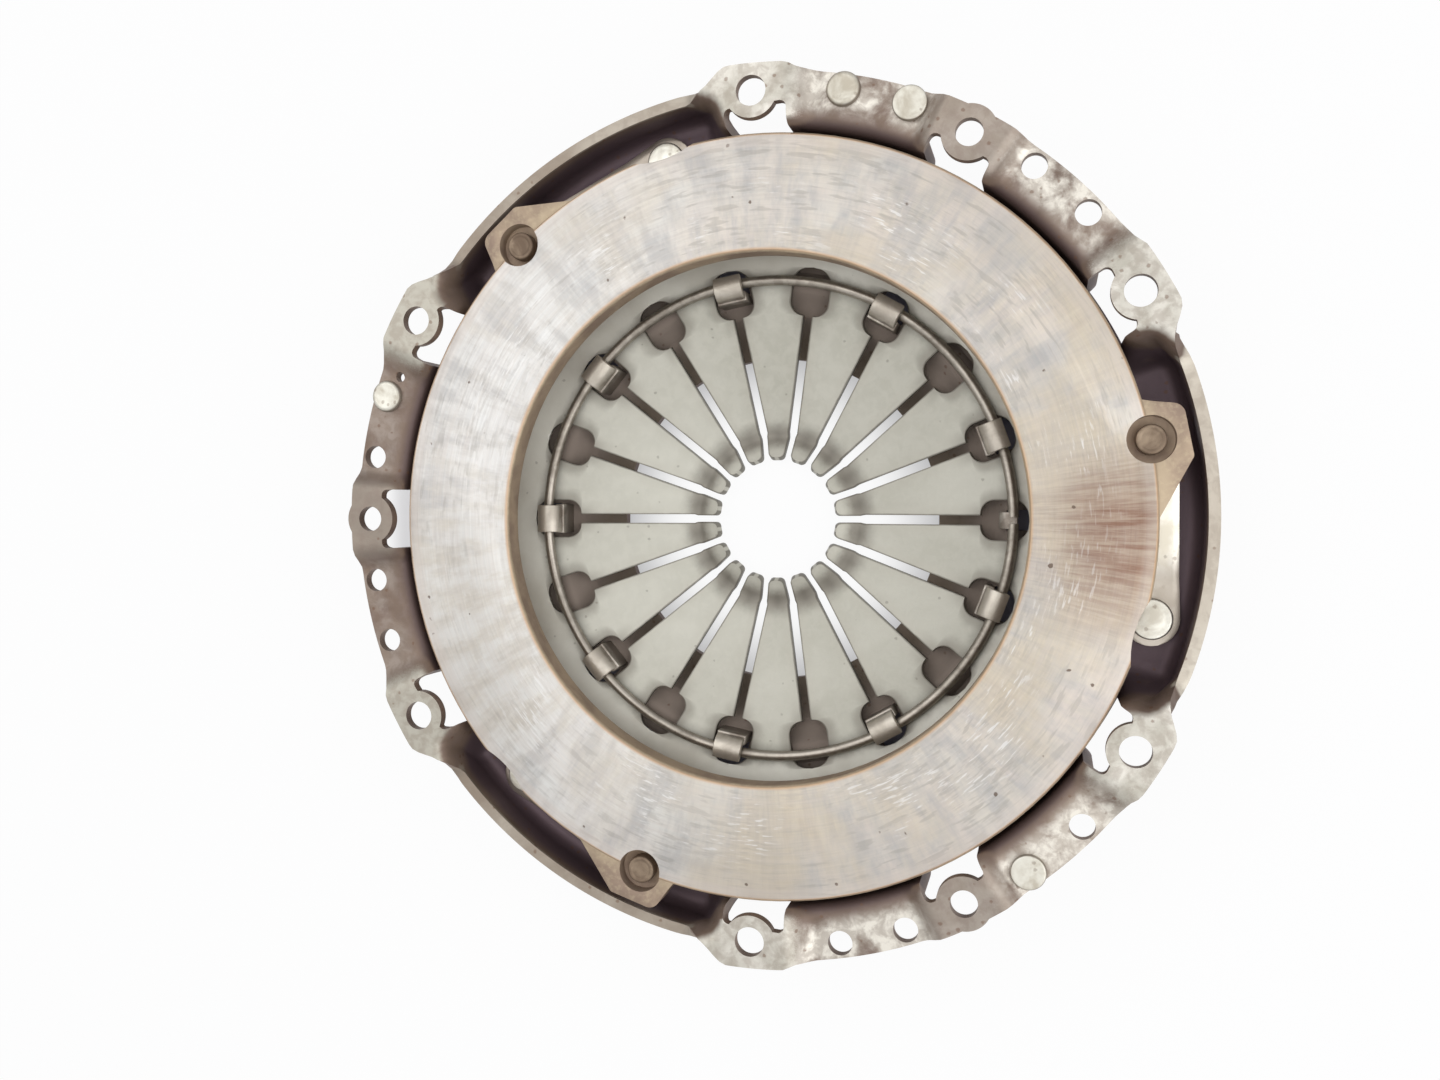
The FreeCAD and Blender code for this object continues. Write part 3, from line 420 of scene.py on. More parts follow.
def stopTab():
    # a bent strip that stands between the two ends of the wire
    s = SimpleNamespace(**stop)
    back = s.inner + s.sheet
    top = tab["wire"] - s.sheet / 2 - s.bend
    section = np.vstack([
        [(s.inner, tab["foot"]), (back, tab["foot"])],
        arcPoints((back + s.bend, top), s.bend, 180, 90, 6),
        [(s.tip, top + s.bend), (s.tip, top + s.bend + s.sheet)],
        arcPoints((back + s.bend, top), s.bend + s.sheet, 90, 180, 9),
    ])
    piece = standingPrism("stopTab", section, s.width)
    bevelEdges(piece, s.edge, 3, 40)
    return piece


coverPieces = [coverShell()]
cutCover(coverPieces[0])
coverPieces += [hookTabs(), stopTab()]
for piece in coverPieces:
    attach(piece, "cover")
    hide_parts("clutch_cover")
print("stage: cover", len(coverPieces[0].data.polygons), "faces")


# Diaphragm spring: a slotted cone whose fingers turn up at their tips

spring = {
    "fingers": 18, "tip": 20.2, "turnUp": 27.3, "tipRise": 3, "edge": 101.5, "cone": 12.7,
    "pivotHeight": -28.094, "bendInner": 26, "bendWidth": 2.6, "sheet": 2.5, "tipSlot": 2.2,
    "tipCorner": 1.4, "slot": 2.9, "keyStart": 65.6, "keyEnd": 80.3, "keyWidth": 12.3, "keyInner": 4.6,
    "keyOuter": 4.8, "edgeRound": 0.35,
}


def slotHalf(x):
    # half the gap beside a finger: rounded tip, narrow slot, wide slot, then the keyhole
    s = SimpleNamespace(**spring)
    half = np.interp(x, [s.turnUp, s.turnUp + 1.2], [s.tipSlot / 2, s.slot / 2])
    corner = np.clip(s.tipCorner - (x - s.tip), 0, s.tipCorner)
    half = half + s.tipCorner - np.sqrt(s.tipCorner ** 2 - corner ** 2)
    wide = s.keyWidth / 2
    into = np.clip(s.keyInner - (x - s.keyStart), 0, s.keyInner)
    inner = wide - s.keyInner + np.sqrt(np.clip(s.keyInner ** 2 - into ** 2, 0, None))
    out = np.clip(x - s.keyEnd + s.keyOuter, 0, s.keyOuter)
    outer = wide - s.keyOuter + np.sqrt(np.clip(s.keyOuter ** 2 - out ** 2, 0, None))
    half = np.where(x >= s.keyStart, np.minimum(inner, outer), half)
    return np.where(x > s.keyEnd + 0.01, 0, half)


def springDisc():
    # point(r, share) = (r cos a, r sin a, cone height), where a runs across a finger between
    # the slots on both sides; the cone bends up by a parabola at the fingers' tips
    s = SimpleNamespace(**spring)
    x = np.concatenate([      # radii of the rows, closer where the outline turns
        s.tip + s.tipCorner * (1 - np.cos(np.linspace(0, np.pi / 2, 6))),
        np.linspace(22.4, 26, 5), np.linspace(26.4, 28.5, 8), np.linspace(30, 64.6, 24), [65.2, 65.58],
        s.keyStart + s.keyInner * (1 - np.cos(np.linspace(0.02, np.pi / 2, 9))),
        np.linspace(71.2, 75.2, 4),
        s.keyEnd - s.keyOuter * (1 - np.sin(np.linspace(0, np.pi / 2, 9))),
        [s.keyEnd + 0.2], np.linspace(82, s.edge, 12),
    ])
    half = slotHalf(x)
    pitch = 2 * np.pi / s.fingers
    across = np.concatenate([[0, 0.04], np.linspace(0.11, 0.89, 10), [0.96, 1]])
    side = np.arcsin(half / x)[:, None]
    turn = side + (pitch - 2 * side) * across[None, :]
    radius = np.broadcast_to(x[:, None], turn.shape)
    width, slope = s.bendWidth, math.tan(math.radians(s.cone))
    bend = np.clip((s.bendInner + width - radius) / width, 0, 1)
    rise = (s.tipRise / (s.turnUp - s.tip) + slope) * width
    straight = rise / 2 + (s.bendInner - radius) * rise / width
    lift = np.where(radius < s.bendInner, straight, rise / 2 * bend ** 2)
    cone = s.pivotHeight + (radius - dish["pivot"]) * slope + lift
    points, faces, sideGap = [], [], []
    for finger in range(s.fingers):
        points.append(around(radius, cone, turn + finger * pitch))
        faces.append(gridFaces(len(x), len(across))[:, ::-1] + finger * turn.size)
        beside = np.minimum(across, 1 - across)[None, :] * (pitch - 2 * side) * x[:, None]
        sideGap.append(np.where(half[:, None] > 0, beside, 9).reshape(-1))
    disc = linkMesh("springDisc", np.concatenate(points), np.concatenate(faces).tolist(), 60)
    gap = disc.data.attributes.new("sideGap", "FLOAT", "POINT")
    gap.data.foreach_set("value", np.concatenate(sideGap).astype(np.float32))
    outwards(disc, allUp=True)
    thicken(disc, s.sheet, 40)
    bevelEdges(disc, s.edgeRound, 2, 50)
    return disc


springPiece = springDisc()
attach(springPiece, "cover")
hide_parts("diaphragm_spring")
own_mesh(springPiece)
print("stage: spring", len(springPiece.data.polygons), "faces")


# Fulcrum wire under the hook tabs

wire = {"radius": 75.7, "height": -26.3, "section": 1.6, "gap": 2, "steps": 288, "round": 20}


def fulcrumWire():
    # tube round a circle, open by a small gap, its two ends closed by a rounded cap
    w = SimpleNamespace(**wire)
    opening = w.gap / 2 / w.radius
    turn = np.linspace(opening, 2 * np.pi - opening, w.steps)
    cap = np.sin(np.linspace(0.02, np.pi / 2, 5))
    turn = np.concatenate([[turn[0]] * 4, turn, [turn[-1]] * 4])
    size = np.concatenate([cap[:4], np.ones(w.steps), cap[3::-1]])
    push = (1 - np.sqrt(1 - size ** 2)) * 0.5 / w.radius
    push = np.concatenate([push[:4], np.zeros(w.steps), -push[-4:]])
    phase = fullTurn(w.round)
    section = w.section * size[:, None]
    radius = w.radius + section * np.cos(phase)[None, :]
    height = w.height + section * np.sin(phase)[None, :]
    points = around(radius, height, (turn + push)[:, None])
    faces = gridFaces(len(turn), w.round, False, True).tolist()
    faces += [list(range(w.round)), list(range(len(points) - 1, len(points) - 1 - w.round, -1))]
    tube = linkMesh("fulcrumWire", points, faces)
    outwards(tube)
    return tube


wirePiece = fulcrumWire()
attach(wirePiece, "cover")
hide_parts("fulcrum_ring")


# Pressure plate: the iron ring with its three lugs, edges rounded

plate = {"inner": 80.8, "edgeRound": 0.45, "boreEnd": -12.7, "flare": 6.6, "back": -19.5}


def pressurePlate():
    # a copy of the solid's mesh, merged into flat faces, its bore flared at the back and its
    # edges rounded
    p = SimpleNamespace(**plate)
    work = bmesh.new()
    work.from_mesh(nodes["pressure_plate"].data)
    bmesh.ops.remove_doubles(work, verts=work.verts, dist=1e-6)
    bmesh.ops.dissolve_limit(work, angle_limit=math.radians(0.5), verts=work.verts, edges=work.edges)
    mesh = bpy.data.meshes.new("frictionPlate")
    work.to_mesh(mesh)
    work.free()
    piece = newObject("frictionPlate", mesh)
    inner, deep = p.inner - 1, p.back - 0.5
    flare = [(inner, p.boreEnd + 1), (p.inner + p.flare, deep), (inner, deep)]
    cutAway(piece, revolveMesh("boreFlare", flare, 240), 32)
    bevelEdges(piece, p.edgeRound, 2, 32)
    return piece


platePiece = pressurePlate()
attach(platePiece, "plate")
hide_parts("pressure_plate")
print("stage: plate", len(platePiece.data.polygons), "faces")


# Rivets: round heads turned from a profile

rivet = {
    "head": 6.05, "headHeight": 2.1, "shank": 4, "setHead": 5.45, "setHeight": 2.4, "tail": 4.3,
    "tailHeight": 3.9, "counterbore": -10.5, "balanceHead": 5.1, "balanceHeight": 1.7, "balanceBack": 4.6,
    "balanceBackHeight": 1.4, "steps": 48,
}
strap = {"leaf": 0.8, "width": 16, "flat": 9.5, "lugSeat": -16, "rise": 7, "count": 3, "closeness": 0.98,
         "edge": 0.12, "held": 0.2}


def headProfile(low, high, radius, edge, dome=0, ring=0):
    # from the axis over a flat or domed top, with a faint turned ring, down the rounded edge
    top = np.array([(0, high + dome), (radius * 0.3, high + dome * 0.85), (radius * 0.52, high + dome * 0.5),
                    (radius * 0.6, high + dome * 0.3 - ring), (radius * 0.68, high + dome * 0.15 - ring),
                    (radius * 0.74, high)])
    return np.vstack([top, arcPoints((radius - edge, high - edge), edge, 90, 0, 6), [(radius, low)]])


def rivetMesh(name, upper, lower, shank, top, foot, circle, azimuth, height):
    # an upper head, a shank and a lower head (given as if it were upright), set at a place
    lower = lower[::-1] * (1, -1)
    profile = np.vstack([upper, [(shank, top), (shank, foot)], lower])
    piece = revolveMesh(name, profile, rivet["steps"], False, 50)
    turn = Matrix.Rotation(math.radians(azimuth), 4, "Z")
    piece.data.transform(turn @ Matrix.Translation((circle * mm, 0, height * mm)))
    return piece


def coverRivet(number):
    # head on the leaves, shank, and the set head behind the cover
    r, pack, sheet = SimpleNamespace(**rivet), strap["leaf"] * strap["count"], cover["sheet"]
    upper = headProfile(pack, pack + r.headHeight - 0.1, r.head, 0.6, 0.1, 0.03)
    lower = headProfile(sheet, sheet + r.setHeight, r.setHead, 1)
    return rivetMesh("coverRivet", upper, lower, r.shank, pack, -sheet, holes["strapCircle"],
                     120 * number + holes["strapAngle"], cover["seat"])


def lugRivet(number):
    # tail up in the counterbore, shank through the lug, head under the leaves
    r, pack = SimpleNamespace(**rivet), strap["leaf"] * strap["count"]
    sink = r.counterbore - strap["lugSeat"]
    upper = headProfile(sink, sink + r.tailHeight, r.tail, 0.7, -0.35, 0.15)
    lower = headProfile(pack, pack + r.headHeight, r.head, 0.6)
    return rivetMesh("lugRivet", upper, lower, r.shank, sink, -pack, holes["lugCircle"],
                     120 * number + holes["lugAngle"], strap["lugSeat"])


def balanceRivet(sector, step, dimple):
    # a head in the channel, with a dimple and a broad edge or plain, and a smaller one behind
    r, sheet = SimpleNamespace(**rivet), cover["sheet"]
    edge, dome = (1.3, -0.2) if dimple else (0.6, 0)
    upper = headProfile(0, r.balanceHeight, r.balanceHead, edge, dome, 0.02)
    lower = headProfile(sheet, sheet + r.balanceBackHeight, r.balanceBack, 0.6)
    return rivetMesh("balanceRivet", upper, lower, holes["balance"] - 0.05, 0, -sheet, holes["balanceCircle"],
                     60 + 120 * sector + holes["balanceStep"] * step, -cover["channelDepth"])


# Drive straps: three spring leaves at each station

def strapEnds(number):
    # the two rivet axes of a strap, in plan
    azimuth = np.array([holes["strapAngle"], holes["lugAngle"]]) + 120 * number
    return around([holes["strapCircle"], holes["lugCircle"]], 0, np.radians(azimuth))[:, :2]


def strapLeaf(near, far, level):
    # a strip with half-round ends: x along it, y = share x the end's half-width, and a height
    # that rises from seat to lug in a straight run with soft ends between the flats
    p = SimpleNamespace(**strap)
    length = float(np.linalg.norm(far - near))
    along, half = (far - near) / length, p.width / 2
    sideways = np.array([-along[1], along[0]])
    end = half * np.sin(np.linspace(0, np.pi / 2, 9))
    x = np.concatenate([-end[::-1], np.linspace(1.5, length - 1.5, 44), length + end])
    beyond = np.maximum(np.maximum(-x, x - length), 0)
    reach = np.sqrt(np.clip(half ** 2 - beyond ** 2, 0.04, None))
    share = np.linspace(-1, 1, 9)
    y = reach[:, None] * share[None, :]
    slope = np.clip((x - p.flat) / (length - 2 * p.flat), 0, 1)
    sharp = np.interp(slope, [0, 0.08, 0.92, 1], [0, 0.05, 0.95, 1])
    height = cover["seat"] + (level + 1) * p.leaf + p.rise * sharp
    plan = near + x[:, None, None] * along + y[..., None] * sideways
    z = np.broadcast_to(height[:, None, None], plan.shape[:2] + (1,))
    points = np.concatenate([plan, z], axis=-1).reshape(-1, 3)
    leaf = linkMesh("strapLeaf", points, gridFaces(len(x), len(share))[:, ::-1].tolist(), 50)
    outwards(leaf, allUp=True)
    thicken(leaf, p.leaf * p.closeness, 50, even=False)
    bevelEdges(leaf, p.edge, 2, 50)
    return leaf


rivetPieces, leafPieces, balancePieces = [], [], []
for number, letter in enumerate("abc"):
    near, far = strapEnds(number)
    for level in range(strap["count"]):
        leaf = strapLeaf(near, far, level)
        leaf.name = f"strapLeaf_{letter}{level + 1}"
        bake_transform(leaf)
        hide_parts(f"strap_{letter}_leaf_{level + 1}")
        leafPieces.append(leaf)
    for piece, body, label in ((coverRivet(number), "cover", "cover"), (lugRivet(number), "plate", "lug")):
        piece.name = f"{label}Rivet_{letter}"
        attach(piece, body)
        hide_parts(f"strap_{letter}_{label}_rivet")
        rivetPieces.append(piece)
for sector, step, dimple in ((0, 2, True), (0, 1, False), (1, -2, True), (2, 1, False)):
    piece = balanceRivet(sector, step, dimple)
    piece.name = f"balanceRivet_{len(balancePieces) + 1}"
    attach(piece, "cover")
    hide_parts("balance_rivets")
    balancePieces.append(piece)
print("stage: straps and rivets")


# Shared shader effects, as node groups

def addNode(tree, kind, inputs=None, **settings):
    # a node whose inputs are given numbers, colours or other nodes' outputs
    node = tree.nodes.new(kind)
    for key, value in settings.items():
        setattr(node, key, value)
    for key, value in (inputs or {}).items():
        if isinstance(value, bpy.types.NodeSocket):
            tree.links.new(value, node.inputs[key])
        else:
            node.inputs[key].default_value = value
    return node


def nodeFor(kind, inputs, **settings):
    # a node in the tree that its inputs come from
    tree = next(value.id_data for value in inputs.values() if isinstance(value, bpy.types.NodeSocket))
    return addNode(tree, kind, inputs, **settings)


def calc(operation, first, second=0):
    return nodeFor("ShaderNodeMath", {0: first, 1: second}, operation=operation).outputs[0]


def plus(first, second):
    return calc("ADD", first, second)


def times(first, *others):
    for other in others:
        first = calc("MULTIPLY", first, other)
    return first


def mixColours(factor, first, second):
    return nodeFor("ShaderNodeMix", {0: factor, 6: first, 7: second}, data_type="RGBA").outputs[2]


def mixValues(factor, first, second):
    return nodeFor("ShaderNodeMix", {0: factor, 2: first, 3: second}, data_type="FLOAT").outputs[0]


def between(value, low, high, first=0, second=1):
    # a soft step of a value from one level to another
    levels = {0: value, 1: low, 2: high, 3: first, 4: second}
    return nodeFor("ShaderNodeMapRange", levels, interpolation_type="SMOOTHSTEP").outputs[0]


def span(value, *steps):
    # the product of soft steps of one value
    return times(*[between(value, low, high) for low, high in steps])


def partsOf(vector):
    return nodeFor("ShaderNodeSeparateXYZ", {0: vector}).outputs


def noise(vector, scale, detail, roughness=0.55, distortion=0):
    inputs = {"Vector": vector, "Scale": scale, "Detail": detail, "Roughness": roughness, "Distortion": distortion}
    return nodeFor("ShaderNodeTexNoise", inputs).outputs["Fac"]


def layered(look, colour, rows):
    # each row lays a colour over what is there by the product of its shares
    for shade, *shares in rows:
        over = look[shade] if isinstance(shade, str) else shade
        colour = mixColours(times(*shares), colour, over)
    return colour


def newGroup(name, inputs):
    # an empty node group with inputs given as {label: default}, None for a vector
    group = bpy.data.node_groups.new(name, "ShaderNodeTree")
    for label, value in inputs.items():
        kind = "NodeSocketVector" if value is None else "NodeSocketFloat"
        socket = group.interface.new_socket(name=label, in_out="INPUT", socket_type=kind)
        if value is not None:
            socket.default_value = value
    return group, group.nodes.new("NodeGroupInput").outputs


def endGroup(group, results):
    # the group's outputs, of the kinds of the values they carry
    for label, value in results.items():
        kind = "NodeSocketVector" if value.type == "VECTOR" else "NodeSocketFloat"
        group.interface.new_socket(name=label, in_out="OUTPUT", socket_type=kind)
    joinAll(group.nodes.new("NodeGroupOutput").inputs, results)
    return group


def joinAll(ends, values):
    for label, value in values.items():
        value.id_data.links.new(value, ends[label])


def useGroup(group, inputs):
    return nodeFor("ShaderNodeGroup", inputs, node_tree=group).outputs


def roundPlaceGroup():
    # place on the disc: radius and height in millimetres, and the turn as (cos, sin, radius)
    group, given = newGroup("roundPlace", {"Place": None})
    split = partsOf(given["Place"])
    flat = nodeFor("ShaderNodeCombineXYZ", {0: split[0], 1: split[1]}).outputs[0]
    way = nodeFor("ShaderNodeVectorMath", {0: flat}, operation="NORMALIZE").outputs[0]
    radius = times(nodeFor("ShaderNodeVectorMath", {0: flat}, operation="LENGTH").outputs[1], 1 / mm)
    parts = partsOf(way)
    turn = nodeFor("ShaderNodeCombineXYZ", {0: parts[0], 1: parts[1], 2: radius}).outputs[0]
    return endGroup(group, {"Radius": radius, "Height": times(split[2], 1 / mm), "Turn": turn, "Side": way})


def turnedMarksGroup():
    # fine marks that follow the circle, and streaks that cross them
    group, given = newGroup("turnedMarks", {"Turn": None, "Rings": 3, "Arc": 4, "Rays": 60})
    parts = partsOf(given["Turn"])

    def stretched(arc, ring):
        scales = {i: times(parts[i], size) for i, size in enumerate((arc, arc, ring))}
        return nodeFor("ShaderNodeCombineXYZ", scales).outputs[0]

    rings = noise(stretched(given["Arc"], given["Rings"]), 1, 4, 0.6)
    rays = noise(stretched(given["Rays"], 0.05), 1, 4, 0.65)
    dashes = noise(stretched(times(given["Arc"], 4.5), times(given["Rings"], 0.8)), 1, 1.6, 0.5)
    return endGroup(group, {"Ringed": between(rings, 0.32, 0.68), "Rayed": between(rays, 0.36, 0.64),
                            "Dashes": between(dashes, 0.58, 0.66), "Gaps": between(dashes, 0.43, 0.35)})


def blotchGroup():
    # soft uneven patches, with small ones inside large ones
    group, given = newGroup("blotches", {"Place": None, "Size": 60, "Low": 0.35, "High": 0.65})
    patch = noise(given["Place"], given["Size"], 6, 0.6, 0.4)
    fine = noise(given["Place"], times(given["Size"], 9), 4, 0.6)
    return endGroup(group, {"Patch": between(patch, given["Low"], given["High"]), "Fine": fine})


def speckGroup():
    # scattered small specks: cells whose centre is near, thinned by a second pattern
    group, given = newGroup("specks", {"Place": None, "Size": 250, "Spread": 0.2, "Share": 0.6})
    bent = noise(given["Place"], times(given["Size"], 3), 2)
    cells = nodeFor("ShaderNodeTexVoronoi", {"Vector": given["Place"], "Scale": given["Size"]}).outputs
    rough = plus(cells["Distance"], times(calc("SUBTRACT", bent, 0.5), 0.3))
    inner = times(given["Spread"], 0.6)
    near = nodeFor("ShaderNodeMapRange", {0: rough, 1: given["Spread"], 2: inner}).outputs[0]
    pick = nodeFor("ShaderNodeSeparateColor", {0: cells["Color"]}).outputs[0]
    return endGroup(group, {"Speck": times(near, calc("GREATER_THAN", pick, given["Share"]))})


roundPlace, turnedMarks, blotches, specks = roundPlaceGroup(), turnedMarksGroup(), blotchGroup(), speckGroup()


def blotched(place, size, low, high):
    return useGroup(blotches, {"Place": place, "Size": size, "Low": low, "High": high})


def specked(place, size, spread, share):
    return useGroup(specks, {"Place": place, "Size": size, "Spread": spread, "Share": share})[0]


def turned(spot, rings, arc, rays=60):
    return useGroup(turnedMarks, {"Turn": spot["Turn"], "Rings": rings, "Arc": arc, "Rays": rays})


def emptyTree(owner):
    owner.use_nodes = True
    owner.node_tree.nodes.clear()
    return owner.node_tree


def newMaterial(name, metallic):
    # a material with its shader and the object's own coordinates
    material = bpy.data.materials.new(name)
    tree = emptyTree(material)
    shader = addNode(tree, "ShaderNodeBsdfPrincipled", {"Metallic": metallic})
    nodeFor("ShaderNodeOutputMaterial", {0: shader.outputs[0]})
    place = addNode(tree, "ShaderNodeTexCoord").outputs["Object"]
    return material, shader.inputs, place


def spotOf(place):
    return useGroup(roundPlace, {"Place": place})


def normalOf(place):
    return addNode(place.id_data, "ShaderNodeNewGeometry").outputs["Normal"]


def finish(shader, colour, rough, height, strength, distance):
    # colour, roughness and bump joined to the shader
    bump = nodeFor("ShaderNodeBump", {"Height": height, "Strength": strength, "Distance": distance * mm})
    joinAll(shader, {"Base Color": colour, "Roughness": rough, "Normal": bump.outputs[0]})


def srgb(red, green, blue):
    # a colour as it is seen, 0 to 255, made linear
    return tuple(((c / 255 + 0.055) / 1.055) ** 2.4 if c > 10 else c / 255 / 12.92 for c in (red, green, blue)) + (1,)


# Materials

coverLook = {
    "dark": srgb(112, 95, 84), "brown": srgb(138, 119, 105), "deep": srgb(134, 117, 114),
    "inside": srgb(146, 132, 118), "under": srgb(148, 135, 125), "pale": srgb(236, 232, 223),
    "grey": srgb(186, 182, 170), "scuff": srgb(142, 128, 114), "glintHighlight": srgb(240, 235, 224),
    "rust": srgb(112, 82, 62), "lip": srgb(226, 219, 205), "shade": srgb(98, 82, 92), "browShade": srgb(86, 70, 70),
}


def coverMaterial():
    # dark pressed steel, paler on the bolt pads and the rim, with painted highlights along the channels and painted
    # shade low inside and below the channels' inner edges
    look = coverLook
    material, shader, place = newMaterial("pressedCoverSteel", 0.5)
    spot = spotOf(place)
    radius, height, across = spot["Radius"], spot["Height"], partsOf(spot["Side"])[0]
    soft = blotched(place, 26, 0.30, 0.70)
    small = blotched(place, 70, 0.30, 0.72)
    grain = blotched(place, 260, 0.40, 0.62)
    facing = normalOf(place)
    upward = partsOf(facing)[2]
    inward = nodeFor("ShaderNodeVectorMath", {0: facing, 1: spot["Side"]}, operation="DOT_PRODUCT").outputs[1]
    turnedIn = calc("MAXIMUM", between(inward, 0, -0.3), between(upward, 0.3, 0.6))
    trough = times(between(height, -10.6, -16), between(radius, 106, 114), turnedIn)
    faceUp = between(upward, 0.55, 0.92)
    inside = times(between(upward, 0.1, 0.5), between(radius, 101, 97))
    floorTone = mixColours(between(radius, 58, 66), look["inside"], look["under"])
    # cos 3a = 4 cos^3 a - 3 cos a is -1 at the dowels and 1 in the middle of the raised rims
    cube = times(calc("POWER", calc("ABSOLUTE", across), 3), calc("SIGN", across))
    third = calc("SUBTRACT", times(cube, 4), times(across, 3))
    atDowel = between(third, -0.75, -0.93)
    # painted shade on the inward wall below the channels, above the plate's edge
    browShade = times(between(third, 0.3, 0), span(radius, (106, 110), (122, 118.2)),
                 between(height, -3.8, -5.8), between(inward, 0.12, -0.05))
    uneven = times(calc("SUBTRACT", grain["Fine"], 0.5), 3.2)
    high = times(between(plus(height, uneven), -3.4, -0.5), faceUp)
    rimTop = times(between(radius, 127.9, 128.9), span(height, (-7.4, -8.6), (-11.2, -10)))
    channel = times(calc("SUBTRACT", 1, high), between(height, -7.2, -5.4), faceUp)
    # painted highlights along the channels
    glint = times(between(small["Patch"], 0, 0.75), between(radius, 119.8, 125.2),
                  mixValues(grain["Patch"], 0.55, 1))
    # painted light: highlights and paler pads on one half of the cover, less on the other
    litHalf = between(across, -0.75, 0.1)            # less on one half of the cover
    bright = times(channel, glint, mixValues(litHalf, 0.18, 1))
    padTone = mixColours(small["Patch"], look["grey"], look["pale"])
    padTone = mixColours(litHalf, look["grey"], padTone)
    padTone = mixColours(times(grain["Patch"], 0.4), padTone, look["scuff"])
    plain = plus(times(soft["Patch"], 0.4), between(across, 0.7, -0.6, 0, 0.5))
    lipTone = mixColours(plain, look["lip"], look["scuff"])
    lipTone = mixColours(times(grain["Patch"], 0.3), lipTone, look["scuff"])
    colour = layered(look, mixColours(soft["Patch"], look["dark"], look["brown"]), [
        # random darker mottle, then painted shade that grows lower inside the cover
        ("deep", grain["Patch"], 0.22),
        ("deep", between(height, -12, -24, 0, 0.6)),
        ("shade", trough, 0.8),
        (floorTone, inside),
        ("browShade", browShade, 0.85),
        # painted highlights in the channels
        ("glintHighlight", bright, 0.9),
        (padTone, high, mixValues(atDowel, 0.92, 0.3)),
        (lipTone, rimTop, 0.85),
        ("rust", specked(place, 420, 0.30, 0.86), 0.55),
    ])
    rough = mixValues(calc("MAXIMUM", bright, high), 0.48, 0.36)
    rough = plus(plus(rough, times(inside, 0.25)), times(small["Fine"], 0.1))
    bump = plus(grain["Fine"], times(soft["Patch"], 0.6))
    finish(shader, colour, rough, bump, 0.4, 0.1)
    return material


tabLook = {"steel": srgb(190, 183, 173), "dark": srgb(136, 126, 116), "ledge": srgb(214, 206, 192)}


def tabMaterial():
    # satin steel of the hook tabs, with painted shade low on the wall and a painted highlight along the top of the
    # curl
    look = tabLook
    material, shader, place = newMaterial("hookTabSteel", 0.65)
    spot = spotOf(place)
    soft = blotched(place, 130, 0.35, 0.65)
    colour = layered(look, mixColours(soft["Patch"], look["steel"], look["dark"]), [
        # painted shade low on the wall, then a painted highlight along the top of the curl
        ("dark", between(spot["Height"], -27.4, -30.5)),
        ("ledge", between(spot["Height"], -24.4, -23.2), 0.5),
    ])
    bump = plus(turned(spot, 2, 60)["Ringed"], soft["Fine"])
    finish(shader, colour, mixValues(soft["Patch"], 0.34, 0.48), bump, 0.35, 0.05)
    return material


springLook = {
    "steel": srgb(178, 176, 164), "light": srgb(194, 192, 181), "grey": srgb(214, 212, 202),
    "pale": srgb(218, 217, 206), "speckAndShade": srgb(88, 80, 70), "brown": srgb(182, 177, 165), "edge": srgb(84, 78, 68),
}


def springMaterial():
    # grey-green satin steel, with painted shade along the slots, round the keyholes, beside the wire and at the tips'
    # bends, and painted light on one side
    look = springLook
    material, shader, place = newMaterial("diaphragmSteel", 0.3)
    spot = spotOf(place)
    radius, across = spot["Radius"], partsOf(spot["Side"])[0]
    soft = blotched(place, 24, 0.30, 0.70)
    fine = blotched(place, 260, 0.38, 0.62)
    gap = addNode(place.id_data, "ShaderNodeAttribute", attribute_name="sideGap").outputs["Fac"]
    wobble = times(calc("SUBTRACT", soft["Fine"], 0.5), 3)
    roughRadius = plus(radius, times(wobble, 1.2))
    roughGap = plus(gap, wobble)
    outer = mixColours(soft["Patch"], look["grey"], look["brown"])
    edge = between(plus(gap, times(wobble, 0.15)), 0.6, 0.1)
    keyhole = times(span(roughRadius, (58, 68), (84, 79)), between(roughGap, 5, 0))
    colour = layered(look, mixColours(soft["Patch"], look["steel"], look["light"]), [
        ("grey", fine["Patch"], 0.24),
        # painted light: paler on one side of the axis
        ("pale", between(across, -0.1, -0.9, 0, 0.3)),
        (outer, between(plus(radius, wobble), 76.5, 80), 0.85),
        # painted shade at the tips' bends, round the keyholes and beside the wire; the specks below are real marks
        ("speckAndShade", span(roughRadius, (21.5, 26), (34, 27.5)), 0.8),
        ("speckAndShade", keyhole, 0.55),
        ("brown", between(roughGap, 4.5, 0), 0.26),
        ("speckAndShade", span(roughRadius, (71, 74.6), (80.5, 76.6)), 0.36),
        # painted shade: a thin dark line along the slots' edges
        ("edge", edge, 0.7),
        ("speckAndShade", specked(place, 300, 0.16, 0.88), 0.35),
    ])
    bump = plus(fine["Fine"], soft["Fine"])
    finish(shader, colour, mixValues(fine["Patch"], 0.42, 0.52), bump, 0.2, 0.04)
    return material


plateLook = {
    "silver": srgb(206, 202, 194), "beige": srgb(194, 181, 161), "blue": srgb(163, 163, 165),
    "grey": srgb(158, 153, 146), "reflectedSilver": srgb(228, 229, 229), "pink": srgb(206, 196, 188),
    "sand": srgb(220, 211, 190), "heat": srgb(128, 92, 74), "rim": srgb(200, 164, 126),
    "wall": srgb(180, 160, 138), "cast": srgb(150, 130, 115), "fleck": srgb(227, 225, 223),
    "rust": srgb(98, 80, 68), "band": srgb(206, 190, 160),
}


